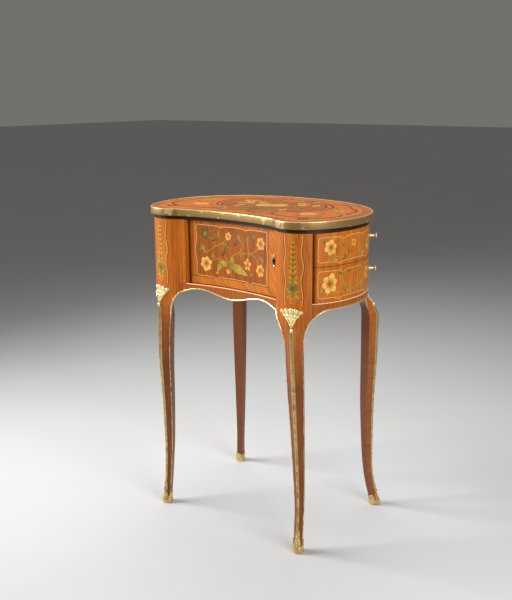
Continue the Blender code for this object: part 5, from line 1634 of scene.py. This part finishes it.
# broad leaves at the foot: one to the right, one arched to the left, one upright
doorFootLeaves = ((-11, 596, -21, 58, 20, "lime"), (-13, 592, 170, 25, 14, "lime"),
                  (-29, 598, 239, 28, 12, "lime"), (-5, 594, 78, 20, 12, "lime"),
                  (-41, 577, 250, 9, 5, "honey"))
doorStems = (
    ((-80, 612), (-65, 618), (-46, 630), (-28, 637), (-18, 634), (-11, 628)),
    ((-9, 594), (-5, 608), (4, 616), (16, 621), (45, 623), (64, 631), (74, 640)),
    ((18, 622), (28, 637), (22, 647), (16, 656)), ((45, 623), (62, 618), (74, 604)),
    ((-46, 630), (-52, 642), (-66, 650)), ((-28, 637), (-20, 646), (-13, 650)),
    ((-14, 596), (-40, 603), (-62, 594)), ((-8, 592), (-24, 614), (-30, 634)),
    ((45, 623), (42, 612), (41, 604)), ((45, 624), (42, 638), (41, 650)), ((-8, 592), (-4, 574), (-3, 566)))


def doorFlowers():
    spray = Spray(33)
    for u, z, size, tint in doorBlooms:
        spray.flower("anemone", u / 1000, z / 1000, size / 1000, tint, doorDesign["bloomSquash"])
    for ring in doorRings:
        spray.ring(*ring)
    spray.leaves(doorLeaves)
    spray.leaves(doorFootLeaves, lift=lifts["broad"])
    spray.flower("daisy", *doorDaisy)
    return spray


def doorLines(border):
    lines = framedLines(border, doorDesign, map(drawn, doorStems), lifts["blade"])
    stile, footTop, seam = (doorDesign[key] for key in ("stile", "footTop", "seam"))
    lines.add(straightLine((stile, doorLow + 0.001), (stile, doorHigh - 0.001), 12), seam, "dark",
              lifts["seam"])
    lines.add(straightLine((doorDesign["footStart"], footTop), (stile, footTop), 40), seam, "dark",
              lifts["string"])
    return lines


def dressDoor():
    door = dressNode("door_panel", caseVeneer, "veneered_door", "door", "veneer").data
    door.materials.append(paintedShadeWood)
    keyX, _, keyZ = doorSurface(*plateMiddle(), 0.0)
    reachX, reachZ = plateDesign["inside"]
    for polygon in door.polygons:      # the inside of the keyhole is painted near-black: painted shade
        corners = [door.vertices[k].co for k in polygon.vertices]
        if all(abs(spot.x - keyX) < reachX and abs(spot.z - keyZ) < reachZ for spot in corners):
            polygon.material_index = 1
    border = cuspedFrame(*(doorDesign[key] for key in ("left", "right", "low", "high")))
    stile, edge, start, top = (doorDesign[key] for key in ("stile", "edge", "footStart", "footTop"))
    right = [(stile, doorLow), (edge, doorLow), (edge, doorHigh), (stile, doorHigh)]
    foot = [(start, doorLow), (stile, doorLow), (stile, top), (start, top)]
    for name, path, veneer, lift, hole in (
            ("door_field", border, doorFieldVeneer, doorDesign["fieldLift"], ()),
            ("door_stile", right, stileVeneer, doorDesign["stileLift"], keyholeOutline(plateDesign["clear"])),
            ("door_foot", foot, stileVeneer, doorDesign["stileLift"], ())):
        addPiece(veneerSheet(path, doorSurface, veneer, lift, hole=hole), name, "door", "veneer")
    addInlay("door", "door", doorSurface, doorLines(border), doorFlowers(), doorDesign["inlayLift"])
    print("door dressed")


# drawers: fields, stringing, flowers and turned knobs
drawerDesign = {"left": -0.1030, "right": 0.0880, "inset": 0.0085, "dip": 0.007, "sway": 0.0006,
                "string": 0.0012, "stem": 0.0010, "fieldLift": 0.00008, "knobBefore": 0.0242}
# flowers in metres: place along, above the middle, size, tint and squash; leaves and stems in millimetres
drawerBlooms = {"upper": ((-0.075, 0.004, 0.030, "cream", 1.1), (-0.010, 0.008, 0.017, "honey", 1.0),
                          (0.058, -0.004, 0.024, "honey", 1.1)),
                "lower": ((-0.076, 0.001, 0.039, "cream", 1.15), (0.052, 0.006, 0.028, "honey", 1.1))}
drawerLeaves = {
    "upper": ((-43, 2, 88, 20, 8), (-72, -26, 20, 16, 8), (-44, -24, 30, 18, 9), (36, -6, 80, 20, 9),
              (16, -22, 15, 18, 8), (-92, 12, 70, 15, 7), (76, 14, 110, 15, 7), (10, 20, 150, 14, 6),
              (-28, -12, 60, 14, 6), (40, 16, 30, 14, 6), (-58, 20, 150, 14, 6)),
    "lower": ((-36, -22, 84, 28, 11), (16, -26, 60, 26, 13), (-56, 20, 4, 21, 8), (2, 8, 100, 20, 8),
              (30, -20, 130, 20, 10), (-20, 20, 160, 16, 7), (78, -14, 70, 17, 8),
              (-94, -20, 100, 15, 7), (24, 22, 20, 15, 6), (-12, -24, 30, 15, 7))}
drawerSeeds = {"upper": 41, "lower": 42}
drawerStems = (((-88, -24), (-60, -16), (-30, -20), (6, -12), (44, -18), (74, -8)),
               ((-60, -16), (-68, -4), (-74, 6)), ((-30, -20), (-20, -4), (-10, 8)),
               ((6, -12), (30, -2), (54, 2)), ((-30, -20), (-42, 2), (-44, 14)),
               ((44, -18), (40, 4), (36, 18)))
# knob: radius and height above the drawer's face
knobProfile = ((0.0, 0.0170), (0.0026, 0.0168), (0.0043, 0.0161), (0.0053, 0.0152), (0.0054, 0.0144),
               (0.0047, 0.0137), (0.0030, 0.0132), (0.0021, 0.0124), (0.0018, 0.0108), (0.0019, 0.0088),
               (0.0023, 0.0072), (0.0029, 0.0062), (0.0029, 0.0055), (0.0023, 0.0048), (0.0026, 0.0038),
               (0.0037, 0.0030), (0.0043, 0.0022), (0.0044, 0.0012), (0.0040, 0.0004), (0.0016, 0.0003),
               (0.0016, -0.0105), (0.0, -0.0105))


def drawerFlowers(which, middle):
    spray = Spray(drawerSeeds[which])
    for u, v, size, tint, squash in drawerBlooms[which]:
        spray.flower("anemone", u, middle + v, size, tint, squash)
    for k, row in enumerate(drawerLeaves[which]):
        spray.leaves([row], ("olive", "lime", "sage")[k % 3], middle)
    return spray


def knobFrame(z):
    angle = angleAtY(backPostY - drawerDesign["knobBefore"], overhang)
    x, y = sidePoint(angle, overhang)
    along = (Vector(sidePoint(angle + 0.5, overhang)) - Vector(sidePoint(angle - 0.5, overhang))).normalized()
    turn = Matrix(((along.x, along.y, 0), (0, 0, 1), (along.y, -along.x, 0))).transposed().to_4x4()
    return Matrix.Translation((x, y, z)) @ turn


def makeKnob(z, steps=36):
    place = knobFrame(z)
    turned = knobProfile[1:-1]
    points = [tuple(place @ Vector((radius * cos(a), radius * sin(a), height)))
              for radius, height in turned for a in roundTurn(steps)]
    faces = quads(len(turned), steps, True)
    for first, (_, height) in ((0, knobProfile[0]), (len(points) - steps, knobProfile[-1])):
        points.append(tuple(place @ Vector((0, 0, height))))
        faces += [(first + j, first + (j + 1) % steps, len(points) - 1) for j in range(steps)]
    return outwards(meshFrom("knob", points, faces, gilt))


def dressDrawers():
    place, inset = sideSurface(False), drawerDesign["inset"]
    for which in ("lower", "upper"):
        body = "drawer_" + which
        low, high = (corner.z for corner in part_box(body + "_front"))
        middle = (low + high) / 2
        dressNode(body + "_front", caseVeneer, f"veneered_{which}_drawer", body, "veneer")
        border = cuspedFrame(drawerDesign["left"], drawerDesign["right"], low + inset, high - inset,
                             drawerDesign["dip"], drawerDesign["sway"])
        field = veneerSheet(border, place, drawerFieldVeneer, drawerDesign["fieldLift"])
        addPiece(field, f"{which}_drawer_field", body, "veneer")
        lines = framedLines(border, drawerDesign, [drawn(points, rise=middle) for points in drawerStems])
        addInlay(f"{which}_drawer", body, place, lines, drawerFlowers(which, middle))
        knobLow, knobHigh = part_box(body + "_knob")
        knob = makeKnob((knobLow.z + knobHigh.z) / 2)
        addPiece(knob, f"{which}_turned_knob", body, "gilt", (body + "_knob",))
    print("drawers dressed")


# left end and back: the same stringed fields with flower sprays
endDesign = {"foot": 0.016, "head": 0.011, "string": 0.0013, "stem": 0.0011,
             "case_left": {"place": sideSurface(True), "left": -0.0995, "right": 0.0905, "seed": 51},
             "case_back": {"place": backSurface, "left": -0.1230, "right": 0.1230, "seed": 52}}
# stems of the right half: share of the half width, height above the middle
endStems = (((0, -0.03), (0.2, -0.012), (0.45, -0.004), (0.6, 0.012)),
            ((0.2, -0.012), (0.3, 0.02), (0.2, 0.036)), ((0.45, -0.004), (0.7, -0.02), (0.82, -0.01)))


# flowers: kind, share of the width, height above the middle, size, tint and squash
endBlooms = (("anemone", -0.28, 0.012, 0.030, "cream", 1.1), ("anemone", 0.27, 0.016, 0.027, "honey", 1.1),
             ("rose", 0.0, -0.006, 0.036, "cream", 1.0))
endLeaves = {"count": 18, "reach": 0.84, "wave": 0.034, "beat": 2.4, "drop": 0.006, "firstTurn": 40,
             "turnStep": 137, "size": (0.02, 0.0085), "footTurns": (20, 160, 200, 340), "footDrop": 0.026,
             "footSize": (0.034, 0.012)}


def endFlowers(seed, width, middle):
    spray = Spray(seed)
    for kind, share, rise, size, tint, squash in endBlooms:
        spray.flower(kind, share * width, middle + rise, size, tint, squash)
    for k, share in enumerate(spread(-0.5, 0.5, endLeaves["count"])):
        rise = endLeaves["wave"] * sin(k * endLeaves["beat"]) - endLeaves["drop"]
        turn = endLeaves["firstTurn"] + endLeaves["turnStep"] * k % 360
        spray.add("leaf", share * width * endLeaves["reach"], middle + rise, turn, *endLeaves["size"],
                  ("olive", "lime", "sage", "moss")[k % 4])
    for turn in endLeaves["footTurns"]:
        spray.add("leaf", 0.0, middle - endLeaves["footDrop"], turn, *endLeaves["footSize"], "lime")
    return spray


def dressEnds():
    low, high = caseFloor + endDesign["foot"], postTop - endDesign["head"]
    middle = (low + high) / 2
    for node in ("case_left", "case_back"):
        place, left, right, seed = endDesign[node].values()
        centre, width = (left + right) / 2, right - left
        dressNode(node, caseVeneer, "veneered_" + node, "case", "veneer")
        border = cuspedFrame(left, right, low, high)
        field = veneerSheet(border, place, drawerFieldVeneer, drawerDesign["fieldLift"])
        addPiece(field, node + "_field", "case", "veneer")
        spray = endFlowers(seed, width, middle)
        spray.shift(centre)
        stems = [curveThrough([(centre + side * a * width / 2, middle + b) for a, b in points])
                 for side in (-1, 1) for points in endStems]
        addInlay(node, "case", place, framedLines(border, endDesign, stems), spray)
    dressNode("hinge_stile", caseVeneer, "veneered_hinge_stile", "case", "veneer")
    print("ends dressed")


def dressInside():
    # carcase boards and ironwork keep their solids, with their own finish
    # the case top's edge under the rim is painted near-black as painted shadow of the rim's overhang
    dressNode("case_top", paintedShadeWood, "stained_case_top", "case", "oak")
    for name, thing in nodes.items():
        if thing.hide_render:
            continue
        if name.startswith(("lock_case", "lock_screw", "top_screw")):
            material = lockSteel
        elif name.startswith(("lock_bolt", "strike", "door_pivot", "drawer_pivot")):
            material = gilt
        else:
            material = oak
        thing.data.materials.clear()
        thing.data.materials.append(material)
    print("inside finished")


# stage, lights and camera
stageDesign = {"floor": ((0.56, 0.56, 0.57, 1), (0.6, 0.6, 0.6, 1)),
               "world": (0.85, 0.82, 0.77, 1), "strength": 0.2}
lightDesign = {
    "key": {"place": (-1.75, -1.2, 1.35), "aim": (0, 0, 0.62), "size": 1.3, "power": 32.0, "spread": 100},
    "fill": {"place": (1.95, -0.7, 1.2), "aim": (0.1, 0, 0.62), "size": 1.3, "power": 14.0, "spread": 100},
    "overhead": {"place": (-0.4, 0.6, 2.3), "aim": (0, 0, 0.7), "size": 1.6, "power": 14.0, "spread": 140},
}
cameraDesign = {"place": (1.1584, -1.5056, 0.9535), "yaw": 38.388, "pitch": 13.593, "roll": -0.373,
                "lens": 52.03, "sensor": 36.0}


def setStage():
    bpy.ops.mesh.primitive_plane_add(size=40.0, location=(0.0, 0.0, 0.0))
    floor = bpy.context.object
    floor.name = "pale_floor"
    material, tree, shader = startMaterial("pale_floor", 0.75, 0.0)
    place = addNode(tree, "ShaderNodeTexCoord").outputs["Object"]
    cloud = mixColour(tree, noise(tree, place, 3.0, 2.0), *stageDesign["floor"])
    tree.links.new(cloud, shader.inputs["Base Color"])
    floor.data.materials.append(material)
    world = bpy.data.worlds.new("studio")
    scene.world = world
    world.use_nodes = True
    backdrop = world.node_tree.nodes["Background"].inputs
    backdrop[0].default_value, backdrop[1].default_value = stageDesign["world"], stageDesign["strength"]
    for name, design in lightDesign.items():
        lamp = bpy.data.lights.new(name, "AREA")
        lamp.size, lamp.energy, lamp.spread = design["size"], design["power"], radians(design["spread"])
        light = bpy.data.objects.new(name, lamp)
        scene.collection.objects.link(light)
        light.location = design["place"]
        way = Vector(design["aim"]) - Vector(design["place"])
        light.rotation_euler = way.to_track_quat("-Z", "Y").to_euler()


def setCamera():
    yaw, pitch, roll = (radians(cameraDesign[key]) for key in ("yaw", "pitch", "roll"))
    turn = (Matrix.Rotation(yaw, 4, "Z") @ Matrix.Rotation(pi / 2 - pitch, 4, "X")
            @ Matrix.Rotation(roll, 4, "Z"))
    lens = bpy.data.cameras.new("camera")
    lens.lens, lens.sensor_width, lens.clip_start = cameraDesign["lens"], cameraDesign["sensor"], 0.05
    camera = bpy.data.objects.new("camera", lens)
    scene.collection.objects.link(camera)
    camera.matrix_world = Matrix.Translation(cameraDesign["place"]) @ turn
    scene.camera = camera
    scene.view_settings.view_transform = "Standard"


dressTop()
dressRim()
dressAprons()
dressLegs()
dressPosts()
dressDoor()
dressLockPlate()
dressDrawers()
dressEnds()
dressInside()
setStage()
setCamera()
print("stage, lights and camera set")
